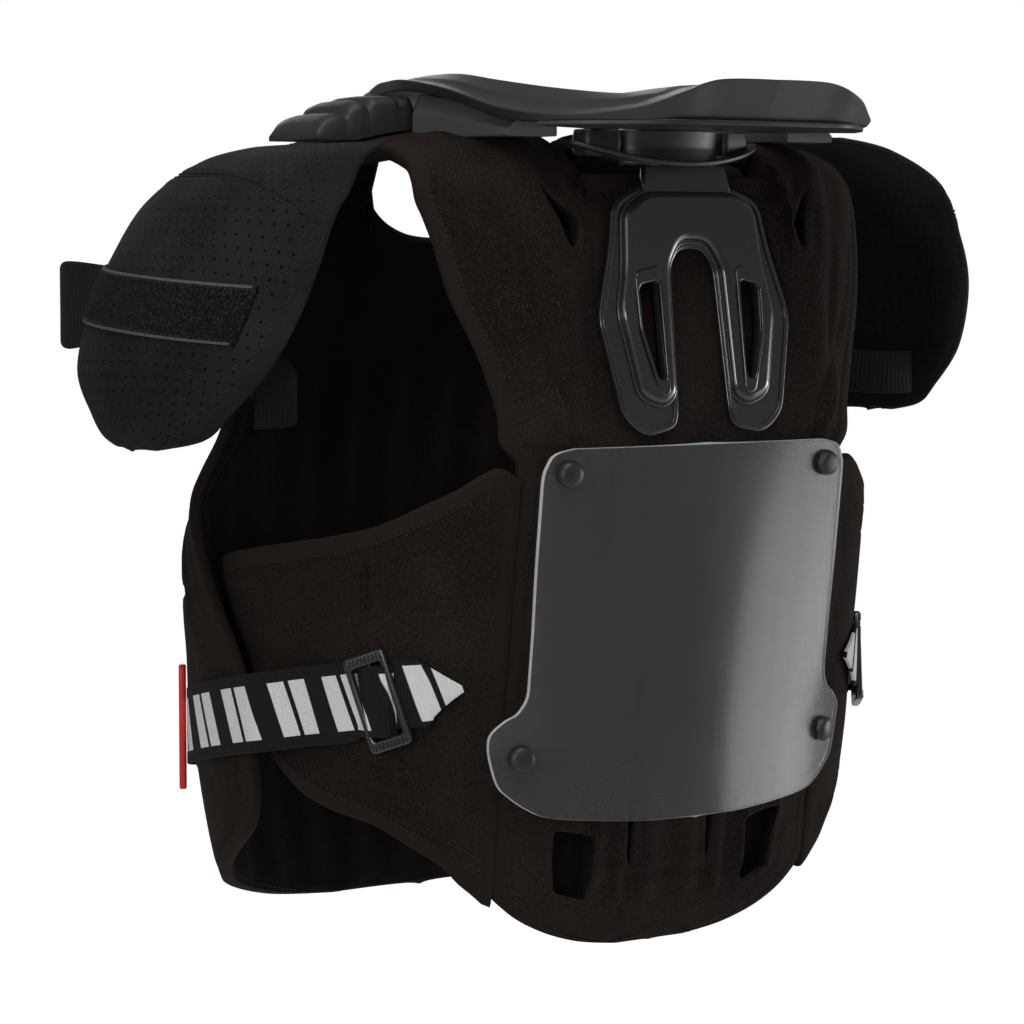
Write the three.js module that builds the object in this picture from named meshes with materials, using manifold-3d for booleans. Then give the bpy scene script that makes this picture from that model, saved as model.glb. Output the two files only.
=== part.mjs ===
// A junior roost deflector: a padded body vest for off-road riding with a hard neck brace collar.
// X points to the wearer's right as seen from behind, Y points forward to the chest and Z points up.
// The origin lies between the shoulders, at the height where the shoulder bridges rest. Lengths are in mm.
import * as THREE from "three";
import { mergeVertices } from "three/addons/utils/BufferGeometryUtils.js";
import Module from "manifold-3d";

const wasm = await Module();
wasm.setup();

// Driving sizes of the torso
const gap = 0.3;
const backLength = 412;
const torsoHalfWidth = 172;
const torsoDepth = 142;
const torsoCentreY = 20;
const torsoSquareness = 3.2;
const panelWall = 14;
const wingWall = 10;
const frontWall = 12;
const lap = frontWall + 9 * gap;
const shoulderTop = 23;
const shoulderSlope = 9;
const neckHalfWidth = 62;
const neckHalfLength = 92;
const neckSquareness = 2.4;
const frontNeckDrop = 36;
const frontNeckSquareness = 2.2;
const seamHalfWidth = 105;
const ribHeight = 2.6;

// Driving sizes of the collar, the bracket, the strut and the plate
const collarHalfWidth = 115;
const collarHalfLength = 139;
const collarCentreY = -47;
const collarRise = 32;
const collarFoot = 22;
const collarEdge = 4;
const collarWall = 9;
const collarInner = 22;
const blockSetIn = 14;
const blockRear = 53;
const blockFront = 35;
const blockBevel = 5;
const flangeThickness = 1.8;
const bracketHalfWidth = 62;
const bracketDepth = 30;
const bracketY = -84;
const lipThickness = 2.6;
const strutHalfWidth = 63;
const strutLength = 130;
const strutTopZ = -10;
const strutTopY = -109;
const strutLean = 19;
const strutFlange = 3;
const strutFace = 5;
const plateHalfWidth = 116;
const plateTopZ = -143;
const plateLength = 196;
const plateThickness = 2.4;
const studDiameter = 14;
const studHeight = 4.5;

// Driving sizes of the waist straps, the caps and what is on them
const webbingWidth = 42;
const webbingThickness = 2.2;
const buckleLength = 24;
const buckleHeight = 51;
const buckleThickness = 4;
const hookLength = 70;
const hookWidth = 9;
const hookThickness = 4;
const hookPlace = 0.13;
const buckleEnd = 6;
const capWall = 5;
const capReach = 264;
const capHalfLength = 105;
const capHeight = 160;
const capCentreY = 20;
const capTop = 14;
const patchPlace = 3.12;
const patchSpan = 0.95;
const patchSlope = 0.4;
const patchStart = 0.1;
const rightCapLift = 8;
const buckleTilt = 0.34;
const linkY = 14;
const patchThickness = 1.4;
const linkWidth = 48;
const linkHeight = 20;
const linkOverlap = 6;
const linkRamp = 24;
const linkSetIn = 11;
const armStrapWidth = 40;
const armStrapThickness = 2;

// Half-width of the back panel at the seams of the wings, as a share of the torso's
const seamShare = seamHalfWidth / torsoHalfWidth;

// Height of the shoulder seams above the origin, as a share of the back's length
const seamRise = shoulderTop / backLength;

// Back of the torso from the shoulder seam down: height below the shoulders as a share of the back's
// length, depth behind the torso's centre as a share of its depth, half-width as a share of the torso's.
const backRows = [
  { down: -seamRise, depth: 0.25, half: 0.79 },
  { down: -0.99 * seamRise, depth: 0.35, half: 0.8 },
  { down: -0.92 * seamRise, depth: 0.52, half: 0.81 },
  { down: -0.59 * seamRise, depth: 0.72, half: 0.825 },
  { down: -0.004, depth: 0.83, half: 0.84 },
  { down: 0.03, depth: 0.878, half: 0.845 },
  { down: 0.09, depth: 0.93, half: 0.82 },
  { down: 0.16, depth: 0.958, half: 0.785 },
  { down: 0.23, depth: 0.98, half: 0.72 },
  { down: 0.3, depth: 0.995, half: 0.67 },
  { down: 0.34, depth: 1.0, half: 0.662 },
  { down: 0.372, depth: 0.995, half: seamShare },
  { down: 0.42, depth: 0.975, half: seamShare },
  { down: 0.48, depth: 0.945, half: seamShare },
  { down: 0.56, depth: 0.915, half: seamShare },
  { down: 0.65, depth: 0.88, half: seamShare },
  { down: 0.74, depth: 0.85, half: seamShare },
  { down: 0.83, depth: 0.82, half: seamShare },
  { down: 0.9, depth: 0.8, half: seamShare },
  { down: 0.94, depth: 0.78, half: 0.54 },
  { down: 0.97, depth: 0.755, half: 0.42 },
  { down: 0.99, depth: 0.73, half: 0.28 },
  { down: 1.0, depth: 0.715, half: 0.13 },
];

// Chest panel from the shoulder seam down, in the same shares as the back. Its side edge is given by
// how far it turns round the torso, as a share of the quarter turn from the chest to the side.
const frontRows = [
  { down: -seamRise, depth: 0.34, turn: 0.47 },
  { down: -0.99 * seamRise, depth: 0.42, turn: 0.47 },
  { down: -0.65 * seamRise, depth: 0.58, turn: 0.46 },
  { down: 0.02, depth: 0.72, turn: 0.44 },
  { down: 0.085, depth: 0.79, turn: 0.4 },
  { down: 0.17, depth: 0.87, turn: 0.37 },
  { down: 0.27, depth: 0.96, turn: 0.37 },
  { down: 0.35, depth: 1.02, turn: 0.4 },
  { down: 0.4, depth: 1.045, turn: 0.5 },
  { down: 0.43, depth: 1.055, turn: 0.6 },
  { down: 0.46, depth: 1.06, turn: 0.7 },
  { down: 0.52, depth: 1.065, turn: 0.83 },
  { down: 0.6, depth: 1.06, turn: 0.93 },
  { down: 0.68, depth: 1.055, turn: 0.975 },
  { down: 0.78, depth: 1.04, turn: 0.985 },
  { down: 0.85, depth: 1.015, turn: 0.965 },
  { down: 0.89, depth: 1.0, turn: 0.89 },
  { down: 0.92, depth: 0.98, turn: 0.79 },
  { down: 0.95, depth: 0.96, turn: 0.66 },
  { down: 0.975, depth: 0.94, turn: 0.49 },
  { down: 0.997, depth: 0.92, turn: 0.3 },
  { down: 1.008, depth: 0.91, turn: 0.12 },
];

// Half-width of the torso's own ring as a share of its named half-width, by height.
const ringRows = [
  { down: -0.06, wide: 1.0 },
  { down: 0.5, wide: 1.0 },
  { down: 0.65, wide: 0.985 },
  { down: 0.75, wide: 0.98 },
  { down: 0.85, wide: 0.955 },
  { down: 1.02, wide: 0.88 },
];

// Side wing seen from the side: how far forward of the torso's centre, as a share of the depth there,
// with the heights of its upper and lower edge as shares of the back's length.
const wingRows = [
  { forward: -0.96, top: 0.4, bottom: 0.94 },
  { forward: -0.925, top: 0.385, bottom: 0.925 },
  { forward: -0.9, top: 0.376, bottom: 0.91 },
  { forward: -0.87, top: 0.386, bottom: 0.895 },
  { forward: -0.8, top: 0.41, bottom: 0.862 },
  { forward: -0.6, top: 0.447, bottom: 0.822 },
  { forward: -0.35, top: 0.466, bottom: 0.808 },
  { forward: -0.1, top: 0.478, bottom: 0.79 },
  { forward: 0.15, top: 0.49, bottom: 0.745 },
  { forward: 0.35, top: 0.5, bottom: 0.68 },
  { forward: 0.5, top: 0.51, bottom: 0.62 },
];

// Soft ribs of the back panel on its right half: ends as shares of the torso's half-width and the
// back's length, breadth as a share of the half-width, and height as a share of the named rib height.
const ribRows = [
  { x0: 0.4, down0: 0.02, x1: 0.52, down1: 0.3, breadth: 0.05, height: 1.0 },
  { x0: 0.56, down0: 0.0, x1: 0.44, down1: 0.32, breadth: 0.05, height: 1.0 },
  { x0: 0.7, down0: 0.03, x1: 0.56, down1: 0.32, breadth: 0.06, height: 0.8 },
  { x0: 0.3, down0: 0.36, x1: 0.28, down1: 0.9, breadth: 0.05, height: 1.0 },
  { x0: 0.1, down0: 0.15, x1: 0.08, down1: 0.92, breadth: 0.045, height: 0.8 },
  { x0: 0.48, down0: 0.4, x1: 0.42, down1: 0.84, breadth: 0.05, height: 0.9 },
];

// Right half of the collar's ring from the rear to the front: its outer edge and its crest as shares of
// its half-width and half-length, heights as shares of its rise, and how far its foot is set in.
const collarRows = [
  { outX: 0.0, outY: -1.0, top: 0.66, under: 0.0, inset: 0.07, crestX: 0.0, crestY: -0.56, crest: 0.58 },
  { outX: 0.31, outY: -0.99, top: 0.64, under: 0.0, inset: 0.07, crestX: 0.28, crestY: -0.54, crest: 0.56 },
  { outX: 0.49, outY: -0.97, top: 0.44, under: 0.0, inset: 0.06, crestX: 0.5, crestY: -0.66, crest: 0.46 },
  { outX: 0.65, outY: -0.87, top: 0.2, under: 0.0, inset: 0.03, crestX: 0.62, crestY: -0.58, crest: 0.49 },
  { outX: 0.86, outY: -0.67, top: 0.1, under: 0.0, inset: 0.02, crestX: 0.75, crestY: -0.4, crest: 0.59 },
  { outX: 0.975, outY: -0.4, top: 0.23, under: 0.05, inset: 0.02, crestX: 0.83, crestY: -0.17, crest: 0.73 },
  { outX: 1.0, outY: -0.07, top: 0.58, under: 0.4, inset: 0.02, crestX: 0.85, crestY: 0.06, crest: 0.86 },
  { outX: 0.975, outY: 0.25, top: 0.78, under: 0.58, inset: 0.02, crestX: 0.81, crestY: 0.33, crest: 0.88 },
  { outX: 0.9, outY: 0.5, top: 0.79, under: 0.6, inset: 0.02, crestX: 0.74, crestY: 0.52, crest: 0.84 },
  { outX: 0.82, outY: 0.7, top: 0.68, under: 0.5, inset: 0.02, crestX: 0.64, crestY: 0.7, crest: 0.77 },
  { outX: 0.7, outY: 0.88, top: 0.62, under: 0.44, inset: 0.02, crestX: 0.48, crestY: 0.84, crest: 0.72 },
  { outX: 0.4, outY: 0.98, top: 0.6, under: 0.42, inset: 0.02, crestX: 0.26, crestY: 0.93, crest: 0.7 },
  { outX: 0.0, outY: 1.0, top: 0.6, under: 0.4, inset: 0.02, crestX: 0.0, crestY: 0.95, crest: 0.7 },
];

// Right half of the strut's flange from the top down, as shares of its half-width and its length.
const strutOutline = [
  { x: 0.5, down: 0.0 },
  { x: 0.76, down: 0.06 },
  { x: 0.84, down: 0.26 },
  { x: 1.0, down: 0.52 },
  { x: 0.83, down: 0.92 },
  { x: 0.62, down: 1.0 },
  { x: 0.3, down: 0.97 },
  { x: 0.26, down: 0.9 },
  { x: 0.22, down: 0.32 },
  { x: 0.12, down: 0.25 },
];

// Right half of the strut's raised face, in the same shares.
const faceOutline = [
  { x: 0.46, down: 0.02 },
  { x: 0.68, down: 0.09 },
  { x: 0.72, down: 0.32 },
  { x: 0.8, down: 0.5 },
  { x: 0.66, down: 0.84 },
  { x: 0.44, down: 0.88 },
  { x: 0.3, down: 0.84 },
  { x: 0.27, down: 0.32 },
  { x: 0.14, down: 0.22 },
];

// The tapered slot through the right leg of the strut, in the same shares.
const legSlot = [
  { x: 0.42, down: 0.38 },
  { x: 0.63, down: 0.4 },
  { x: 0.62, down: 0.58 },
  { x: 0.5, down: 0.78 },
  { x: 0.42, down: 0.78 },
];

// Clear plate from the top down: half-width as a share of its widest, and how far down as a share.
const plateRows = [
  { down: 0.0, half: 0.7 },
  { down: 0.012, half: 0.79 },
  { down: 0.04, half: 0.83 },
  { down: 0.1, half: 0.85 },
  { down: 0.3, half: 0.85 },
  { down: 0.5, half: 0.845 },
  { down: 0.63, half: 0.845 },
  { down: 0.69, half: 0.88 },
  { down: 0.72, half: 0.96 },
  { down: 0.76, half: 0.995 },
  { down: 0.82, half: 1.0 },
  { down: 0.88, half: 0.945 },
  { down: 0.93, half: 0.84 },
  { down: 0.97, half: 0.68 },
  { down: 0.99, half: 0.45 },
  { down: 1.0, half: 0.25 },
];

// Places of the plate's studs on its right half: shares of the plate's half-width and length.
const studPlaces = [
  { across: 0.73, down: 0.065 },
  { across: 0.865, down: 0.815 },
];

// Right shoulder cap from its top edge down: height as a share of the cap's height, reach to the side
// as a share of the widest, how far its ends curl in, and its rear and front end as shares.
const capRows = [
  { down: 0.0, reach: 0.6, curl: 0.03, rear: -0.66, front: 0.4 },
  { down: 0.05, reach: 0.73, curl: 0.06, rear: -0.87, front: 0.62 },
  { down: 0.19, reach: 0.86, curl: 0.1, rear: -1.04, front: 0.81 },
  { down: 0.38, reach: 0.94, curl: 0.13, rear: -1.04, front: 0.92 },
  { down: 0.56, reach: 0.985, curl: 0.14, rear: -0.99, front: 0.98 },
  { down: 0.75, reach: 1.0, curl: 0.12, rear: -0.82, front: 0.96 },
  { down: 0.89, reach: 0.985, curl: 0.08, rear: -0.57, front: 0.73 },
  { down: 1.0, reach: 0.955, curl: 0.03, rear: -0.22, front: 0.4 },
];

// Elastic strap round the inside of the upper arm: shares of the cap's reach, half-length and height,
// and the strap's breadth as a share of its width.
const armStrapRows = [
  { x: 0.8045, y: 0.93, down: 0.53, breadth: 1.0 },
  { x: 0.845, y: 1.13, down: 0.54, breadth: 1.0 },
  { x: 0.78, y: 1.2, down: 0.56, breadth: 1.0 },
  { x: 0.7, y: 1.0, down: 0.6, breadth: 0.95 },
  { x: 0.665, y: 0.55, down: 0.68, breadth: 0.85 },
  { x: 0.66, y: 0.1, down: 0.76, breadth: 0.75 },
  { x: 0.68, y: -0.3, down: 0.82, breadth: 0.65 },
  { x: 0.76, y: -0.52, down: 0.84, breadth: 0.6 },
  { x: 0.83, y: -0.55, down: 0.84, breadth: 0.6 },
];

// Waist webbing from the chest to the buckle: forward place as a share of the torso's depth, height of
// its middle as a share of the back's length, and the layer it lies on, from the wing to the chest panel.
const waistRows = [
  { forward: 0.88, down: 0.76, layer: 1 },
  { forward: 0.7, down: 0.745, layer: 1 },
  { forward: 0.45, down: 0.725, layer: 1 },
  { forward: 0.22, down: 0.708, layer: 1 },
  { forward: 0.04, down: 0.696, layer: 1 },
  { forward: -0.1, down: 0.688, layer: 0.5 },
  { forward: -0.24, down: 0.68, layer: 0.1 },
  { forward: -0.38, down: 0.673, layer: 0 },
  { forward: -0.53, down: 0.665, layer: 0 },
];

// Profile of the humped link over the right shoulder: shares of its run and of its height.
const linkProfile = [
  { along: 0.0, high: 0.6 },
  { along: 0.05, high: 0.8 },
  { along: 0.15, high: 0.68 },
  { along: 0.21, high: 0.8 },
  { along: 0.4, high: 0.76 },
  { along: 0.47, high: 0.55 },
  { along: 0.54, high: 0.66 },
  { along: 0.64, high: 0.52 },
  { along: 0.7, high: 0.26 },
  { along: 0.78, high: 0.3 },
  { along: 0.92, high: 0.1 },
  { along: 1.0, high: -0.24 },
];

// Smooth value of a column at a place between the rows of a table, counted in rows.
function alongRows(rows, column, place) {
  const last = rows.length - 1;
  const at = Math.min(Math.max(place, 0), last);
  const i = Math.min(Math.floor(at), last - 1);
  const t = at - i;
  const value = (k) => rows[Math.min(Math.max(k, 0), last)][column];
  const [a, b, c, d] = [value(i - 1), value(i), value(i + 1), value(i + 2)];
  const rise = c - b;
  const m0 = (b - a) * rise > 0 ? (c - a) / 2 : 0;
  const m1 = (d - c) * rise > 0 ? (d - b) / 2 : 0;
  const t2 = t * t;
  const t3 = t2 * t;
  return (2 * t3 - 3 * t2 + 1) * b + (t3 - 2 * t2 + t) * m0 + (3 * t2 - 2 * t3) * c + (t3 - t2) * m1;
}

// The place in a table, counted in rows, where a rising column reaches a value.
function placeOf(rows, column, value) {
  let low = 0;
  let high = rows.length - 1;
  for (let step = 0; step < 30; step += 1) {
    const middle = (low + high) / 2;
    if (alongRows(rows, column, middle) < value) {
      low = middle;
    } else {
      high = middle;
    }
  }
  return (low + high) / 2;
}

// How much of the depth is left at a sideways place on a squarish oval of that half-width.
function ovalDepth(x, halfWidth, squareness = torsoSquareness) {
  const share = Math.min(Math.abs(x) / halfWidth, 0.9999);
  return (1 - share ** squareness) ** (1 / squareness);
}

// Half-width of the torso's ring at a height.
function ringHalfWidth(z) {
  return torsoHalfWidth * alongRows(ringRows, "wide", placeOf(ringRows, "down", -z / backLength));
}

// How far the shoulders slope down at a sideways place, fading out below the seams.
function shoulderDrop(x, down) {
  const onShoulder = THREE.MathUtils.clamp(1 - (down + seamRise) / 0.11, 0, 1);
  const beyondNeck = Math.max(0, (Math.abs(x) - neckHalfWidth) / (torsoHalfWidth - neckHalfWidth));
  return onShoulder * 2 * shoulderSlope * beyondNeck ** 2;
}

// Outer surface of the back at a sideways place and a place in the back's table.
function backSurface(x, place) {
  const down = alongRows(backRows, "down", place);
  const depth = torsoDepth * alongRows(backRows, "depth", place);
  const z = -backLength * down - shoulderDrop(x, down);
  const y = torsoCentreY - depth * ovalDepth(x, ringHalfWidth(-backLength * down));
  return new THREE.Vector3(x, y, z);
}

// Depth of the back's outer surface at a place below the shoulders.
function backY(x, z) {
  return backSurface(x, placeOf(backRows, "down", -z / backLength)).y;
}

// Outer surface of the chest panel at a turn from the chest to the side and a place in its table.
function frontSurface(turn, place) {
  const down = alongRows(frontRows, "down", place);
  const depth = torsoDepth * alongRows(frontRows, "depth", place);
  const angle = (Math.abs(turn) * Math.PI) / 2;
  const power = 2 / torsoSquareness;
  const x = Math.sign(turn) * (ringHalfWidth(-backLength * down) + lap) * Math.sin(angle) ** power;
  const z = -backLength * down - shoulderDrop(x, down);
  return new THREE.Vector3(x, torsoCentreY + depth * Math.cos(angle) ** power, z);
}

// The turn at which the chest panel's first row reaches a sideways place.
function turnOf(x) {
  const share = x / (ringHalfWidth(-backLength * frontRows[0].down) + lap);
  return (Math.asin(share ** (torsoSquareness / 2)) * 2) / Math.PI;
}

// Height of the ribs on the back panel, which stand proud of the cloth round them.
function ribRelief(x, z) {
  let relief = 0;
  for (const rib of ribRows) {
    const [ax, az] = [rib.x0 * torsoHalfWidth, -rib.down0 * backLength];
    const [bx, bz] = [rib.x1 * torsoHalfWidth, -rib.down1 * backLength];
    const run = ((Math.abs(x) - ax) * (bx - ax) + (z - az) * (bz - az)) / ((bx - ax) ** 2 + (bz - az) ** 2);
    const t = THREE.MathUtils.clamp(run, 0, 1);
    const away = Math.hypot(Math.abs(x) - ax - t * (bx - ax), z - az - t * (bz - az));
    const share = away / (rib.breadth * torsoHalfWidth);
    relief += ribHeight * rib.height * Math.exp(-share * share);
  }
  return relief;
}

// A closed geometry from points and triangles, with its faces turned outwards.
function closedGeometry(points, triangles) {
  let volume = 0;
  for (const [a, b, c] of triangles) {
    volume += points[a].dot(new THREE.Vector3().crossVectors(points[b], points[c]));
  }
  const facing = volume < 0 ? triangles.map(([a, b, c]) => [a, c, b]) : triangles;
  const geometry = new THREE.BufferGeometry();
  const flat = points.flatMap((point) => [point.x, point.y, point.z]);
  geometry.setAttribute("position", new THREE.Float32BufferAttribute(flat, 3));
  geometry.setIndex(facing.flat());
  geometry.computeVertexNormals();
  return geometry;
}

// A closed wall from a grid of outer points: the inner points lie one wall deep along the normals, on
// the side away from the hint. relief lifts the outer points, and ring closes the grid round itself.
function wallFromGrid(grid, wall, hint, { relief = () => 0, ring = false } = {}) {
  const [rows, columns] = [grid.length, grid[0].length];
  const wrap = (j) => (ring ? (j + columns) % columns : THREE.MathUtils.clamp(j, 0, columns - 1));
  const clampRow = (i) => THREE.MathUtils.clamp(i, 0, rows - 1);
  const normalAt = (i, j) => {
    const across = new THREE.Vector3().subVectors(grid[i][wrap(j + 1)], grid[i][wrap(j - 1)]);
    const along = new THREE.Vector3().subVectors(grid[clampRow(i + 1)][j], grid[clampRow(i - 1)][j]);
    return across.cross(along).normalize();
  };
  const middle = [Math.floor(rows / 2), Math.floor(columns / 2)];
  const sign = Math.sign(normalAt(...middle).dot(hint(grid[middle[0]][middle[1]])));
  const points = [];
  for (let i = 0; i < rows; i += 1) {
    for (let j = 0; j < columns; j += 1) {
      const normal = normalAt(i, j).multiplyScalar(sign);
      const outer = grid[i][j];
      points.push(outer.clone().addScaledVector(normal, relief(outer, i, j)));
      points.push(outer.clone().addScaledVector(normal, -wall));
    }
  }
  const outerIndex = (i, j) => 2 * (i * columns + wrap(j));
  const innerIndex = (i, j) => outerIndex(i, j) + 1;
  const triangles = [];
  const quad = (a, b, c, d) => triangles.push([a, b, c], [a, c, d]);
  const spans = ring ? columns : columns - 1;
  for (let i = 0; i + 1 < rows; i += 1) {
    for (let j = 0; j < spans; j += 1) {
      quad(outerIndex(i, j), outerIndex(i, j + 1), outerIndex(i + 1, j + 1), outerIndex(i + 1, j));
      quad(innerIndex(i, j), innerIndex(i + 1, j), innerIndex(i + 1, j + 1), innerIndex(i, j + 1));
    }
  }
  for (let j = 0; j < spans; j += 1) {
    quad(outerIndex(0, j), innerIndex(0, j), innerIndex(0, j + 1), outerIndex(0, j + 1));
    const end = rows - 1;
    quad(outerIndex(end, j), outerIndex(end, j + 1), innerIndex(end, j + 1), innerIndex(end, j));
  }
  if (!ring) {
    for (let i = 0; i + 1 < rows; i += 1) {
      quad(outerIndex(i, 0), outerIndex(i + 1, 0), innerIndex(i + 1, 0), innerIndex(i, 0));
      const end = columns - 1;
      quad(outerIndex(i, end), innerIndex(i, end), innerIndex(i + 1, end), outerIndex(i + 1, end));
    }
  }
  return closedGeometry(points, triangles);
}

// A closed body lofted through sections of the same number of points.
function loft(sections, closed = false) {
  const count = sections[0].length;
  const points = sections.flat();
  const triangles = [];
  const spans = closed ? sections.length : sections.length - 1;
  for (let i = 0; i < spans; i += 1) {
    const next = (i + 1) % sections.length;
    for (let j = 0; j < count; j += 1) {
      const [a, b] = [i * count + j, i * count + ((j + 1) % count)];
      const [c, d] = [next * count + ((j + 1) % count), next * count + j];
      triangles.push([a, b, c], [a, c, d]);
    }
  }
  if (!closed) {
    const last = (sections.length - 1) * count;
    for (let j = 1; j + 1 < count; j += 1) {
      triangles.push([0, j + 1, j], [last, last + j, last + j + 1]);
    }
  }
  return closedGeometry(points, triangles);
}

// A solid for joining and cutting.
function solidOf(geometry) {
  const bare = geometry.clone();
  bare.deleteAttribute("normal");
  bare.deleteAttribute("uv");
  const merged = mergeVertices(bare, 1e-4);
  const vertProperties = new Float32Array(merged.attributes.position.array);
  const triVerts = new Uint32Array(merged.index.array);
  return new wasm.Manifold(new wasm.Mesh({ numProp: 3, vertProperties, triVerts }));
}

// The geometry of a solid.
function geometryOf(solid) {
  const mesh = solid.getMesh();
  const geometry = new THREE.BufferGeometry();
  const positions = new Float32Array(mesh.numVert * 3);
  for (let i = 0; i < mesh.numVert; i += 1) {
    positions.set(mesh.vertProperties.slice(i * mesh.numProp, i * mesh.numProp + 3), i * 3);
  }
  geometry.setAttribute("position", new THREE.BufferAttribute(positions, 3));
  geometry.setIndex(new THREE.BufferAttribute(new Uint32Array(mesh.triVerts), 1));
  geometry.computeVertexNormals();
  return geometry;
}

// The same geometry on the other side of the vest.
function mirrored(geometry) {
  const copy = geometry.index ? geometry.clone() : mergeVertices(geometry.clone(), 1e-4);
  const position = copy.attributes.position;
  for (let i = 0; i < position.count; i += 1) {
    position.setX(i, -position.getX(i));
  }
  const index = copy.index.array;
  for (let i = 0; i < index.length; i += 3) {
    [index[i + 1], index[i + 2]] = [index[i + 2], index[i + 1]];
  }
  copy.computeVertexNormals();
  return copy;
}

// A prism of an outline in X and Z, from one depth to the other.
function prismAlongY(outline, fromY, toY) {
  const shape = new THREE.Shape(outline.map(([x, z]) => new THREE.Vector2(x, z)));
  const geometry = new THREE.ExtrudeGeometry(shape, { depth: toY - fromY, bevelEnabled: false });
  geometry.rotateX(Math.PI / 2);
  geometry.translate(0, toY, 0);
  return geometry;
}

// A prism of an outline in X and Y, from one height to the other.
function prismAlongZ(outline, fromZ, toZ) {
  const shape = new THREE.Shape(outline.map(([x, y]) => new THREE.Vector2(x, y)));
  const geometry = new THREE.ExtrudeGeometry(shape, { depth: toZ - fromZ, bevelEnabled: false });
  geometry.translate(0, 0, fromZ);
  return geometry;
}

// Points on an oval in a plane.
function ovalOutline(centreX, centreY, halfX, halfY, count, squareness = 2) {
  const power = 2 / squareness;
  return Array.from({ length: count }, (_, i) => {
    const angle = (2 * Math.PI * i) / count;
    const [c, s] = [Math.cos(angle), Math.sin(angle)];
    return [
      centreX + halfX * Math.sign(c) * Math.abs(c) ** power,
      centreY + halfY * Math.sign(s) * Math.abs(s) ** power,
    ];
  });
}

// Materials
const paddedCloth = () => new THREE.MeshStandardMaterial({ color: 0x2b2624, roughness: 0.95, metalness: 0 });
const capCloth = () => new THREE.MeshStandardMaterial({ color: 0x2a292c, roughness: 0.95, metalness: 0 });
const brace = () => new THREE.MeshStandardMaterial({ color: 0x24282a, roughness: 0.45, metalness: 0 });
const glossy = () => new THREE.MeshStandardMaterial({ color: 0x2a2c2e, roughness: 0.3, metalness: 0 });
const webbing = () => new THREE.MeshStandardMaterial({ color: 0x333336, roughness: 0.85, metalness: 0 });
const redPlastic = () => new THREE.MeshStandardMaterial({ color: 0xb01818, roughness: 0.45, metalness: 0 });
const rubber = () => new THREE.MeshStandardMaterial({ color: 0x2c2c2e, roughness: 0.7, metalness: 0 });
const clearSheet = () => new THREE.MeshStandardMaterial({
  color: 0xcfd4d6,
  roughness: 0.08,
  metalness: 0,
  transparent: true,
  opacity: 0.35,
});

const vest = new THREE.Group();

function addPiece(name, geometry, material) {
  const mesh = new THREE.Mesh(geometry, material);
  mesh.name = name;
  vest.add(mesh);
}

// A piece made for the right side, and its twin on the left. What hangs on the right cap sits higher.
function addPair(name, geometry, material, rightLift = 0) {
  addPiece(`${name}_left`, mirrored(geometry), material());
  addPiece(`${name}_right`, geometry.clone().translate(0, 0, rightLift), material());
}

// Slots and vents through the back panel: each outline in X and Z on the right half, in shares.
const backVents = [
  [
    { x: 0.515, down: 0.022 },
    { x: 0.47, down: 0.062 },
    { x: 0.452, down: 0.1 },
    { x: 0.43, down: 0.098 },
    { x: 0.41, down: 0.066 },
  ],
  [
    { x: 0.145, down: 0.64 },
    { x: 0.175, down: 0.65 },
    { x: 0.165, down: 0.75 },
    { x: 0.145, down: 0.76 },
  ],
  [
    { x: 0.14, down: 0.8 },
    { x: 0.165, down: 0.8 },
    { x: 0.16, down: 0.88 },
    { x: 0.145, down: 0.89 },
  ],
  [
    { x: 0.33, down: 0.83 },
    { x: 0.38, down: 0.85 },
    { x: 0.33, down: 0.925 },
    { x: 0.31, down: 0.92 },
  ],
];

function buildBackPanel() {
  const [rows, columns] = [28, 16];
  const grid = Array.from({ length: rows + 1 }, (_, i) => {
    const place = ((backRows.length - 1) * i) / rows;
    const half = torsoHalfWidth * alongRows(backRows, "half", place);
    return Array.from({ length: columns + 1 }, (_, j) => backSurface(half * ((2 * j) / columns - 1), place));
  });
  const relief = (point, i, j) => (j === 0 || j === columns || i === 0 ? 0 : ribRelief(point.x, point.z));
  const hint = () => new THREE.Vector3(0, -1, 0);
  let solid = solidOf(wallFromGrid(grid, panelWall, hint, { relief }));
  const neck = ovalOutline(0, 0, neckHalfWidth, neckHalfLength, 32, neckSquareness);
  solid = solid.subtract(solidOf(prismAlongZ(neck, -panelWall * 3, backLength)));
  const bedOutline = strutOutline.filter((row) => row.x >= 0.3);
  for (const rise of [-2 * gap, 2 * gap]) {
    const strutBed = placeOnStrut(geometryOf(strutFlangeSolid(bedOutline, 8 * strutFace, 2 * gap)));
    strutBed.translate(0, 2 * gap, rise);
    solid = solid.subtract(solidOf(strutBed));
  }
  const notch = new THREE.BoxGeometry(2 * bracketHalfWidth + 8 * gap, 2 * torsoDepth, 2 * shoulderTop);
  notch.translate(0, bracketY + 20 - torsoDepth, shoulderTop - 3);
  solid = solid.subtract(solidOf(notch));
  for (const vent of backVents) {
    for (const side of [-1, 1]) {
      const outline = vent.map((p) => [side * p.x * torsoHalfWidth, -p.down * backLength]);
      const ordered = side > 0 ? outline : outline.reverse();
      solid = solid.subtract(solidOf(prismAlongY(ordered, -3 * torsoDepth, torsoCentreY)));
    }
  }
  addPiece("back_panel", geometryOf(solid), paddedCloth());
}

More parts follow.
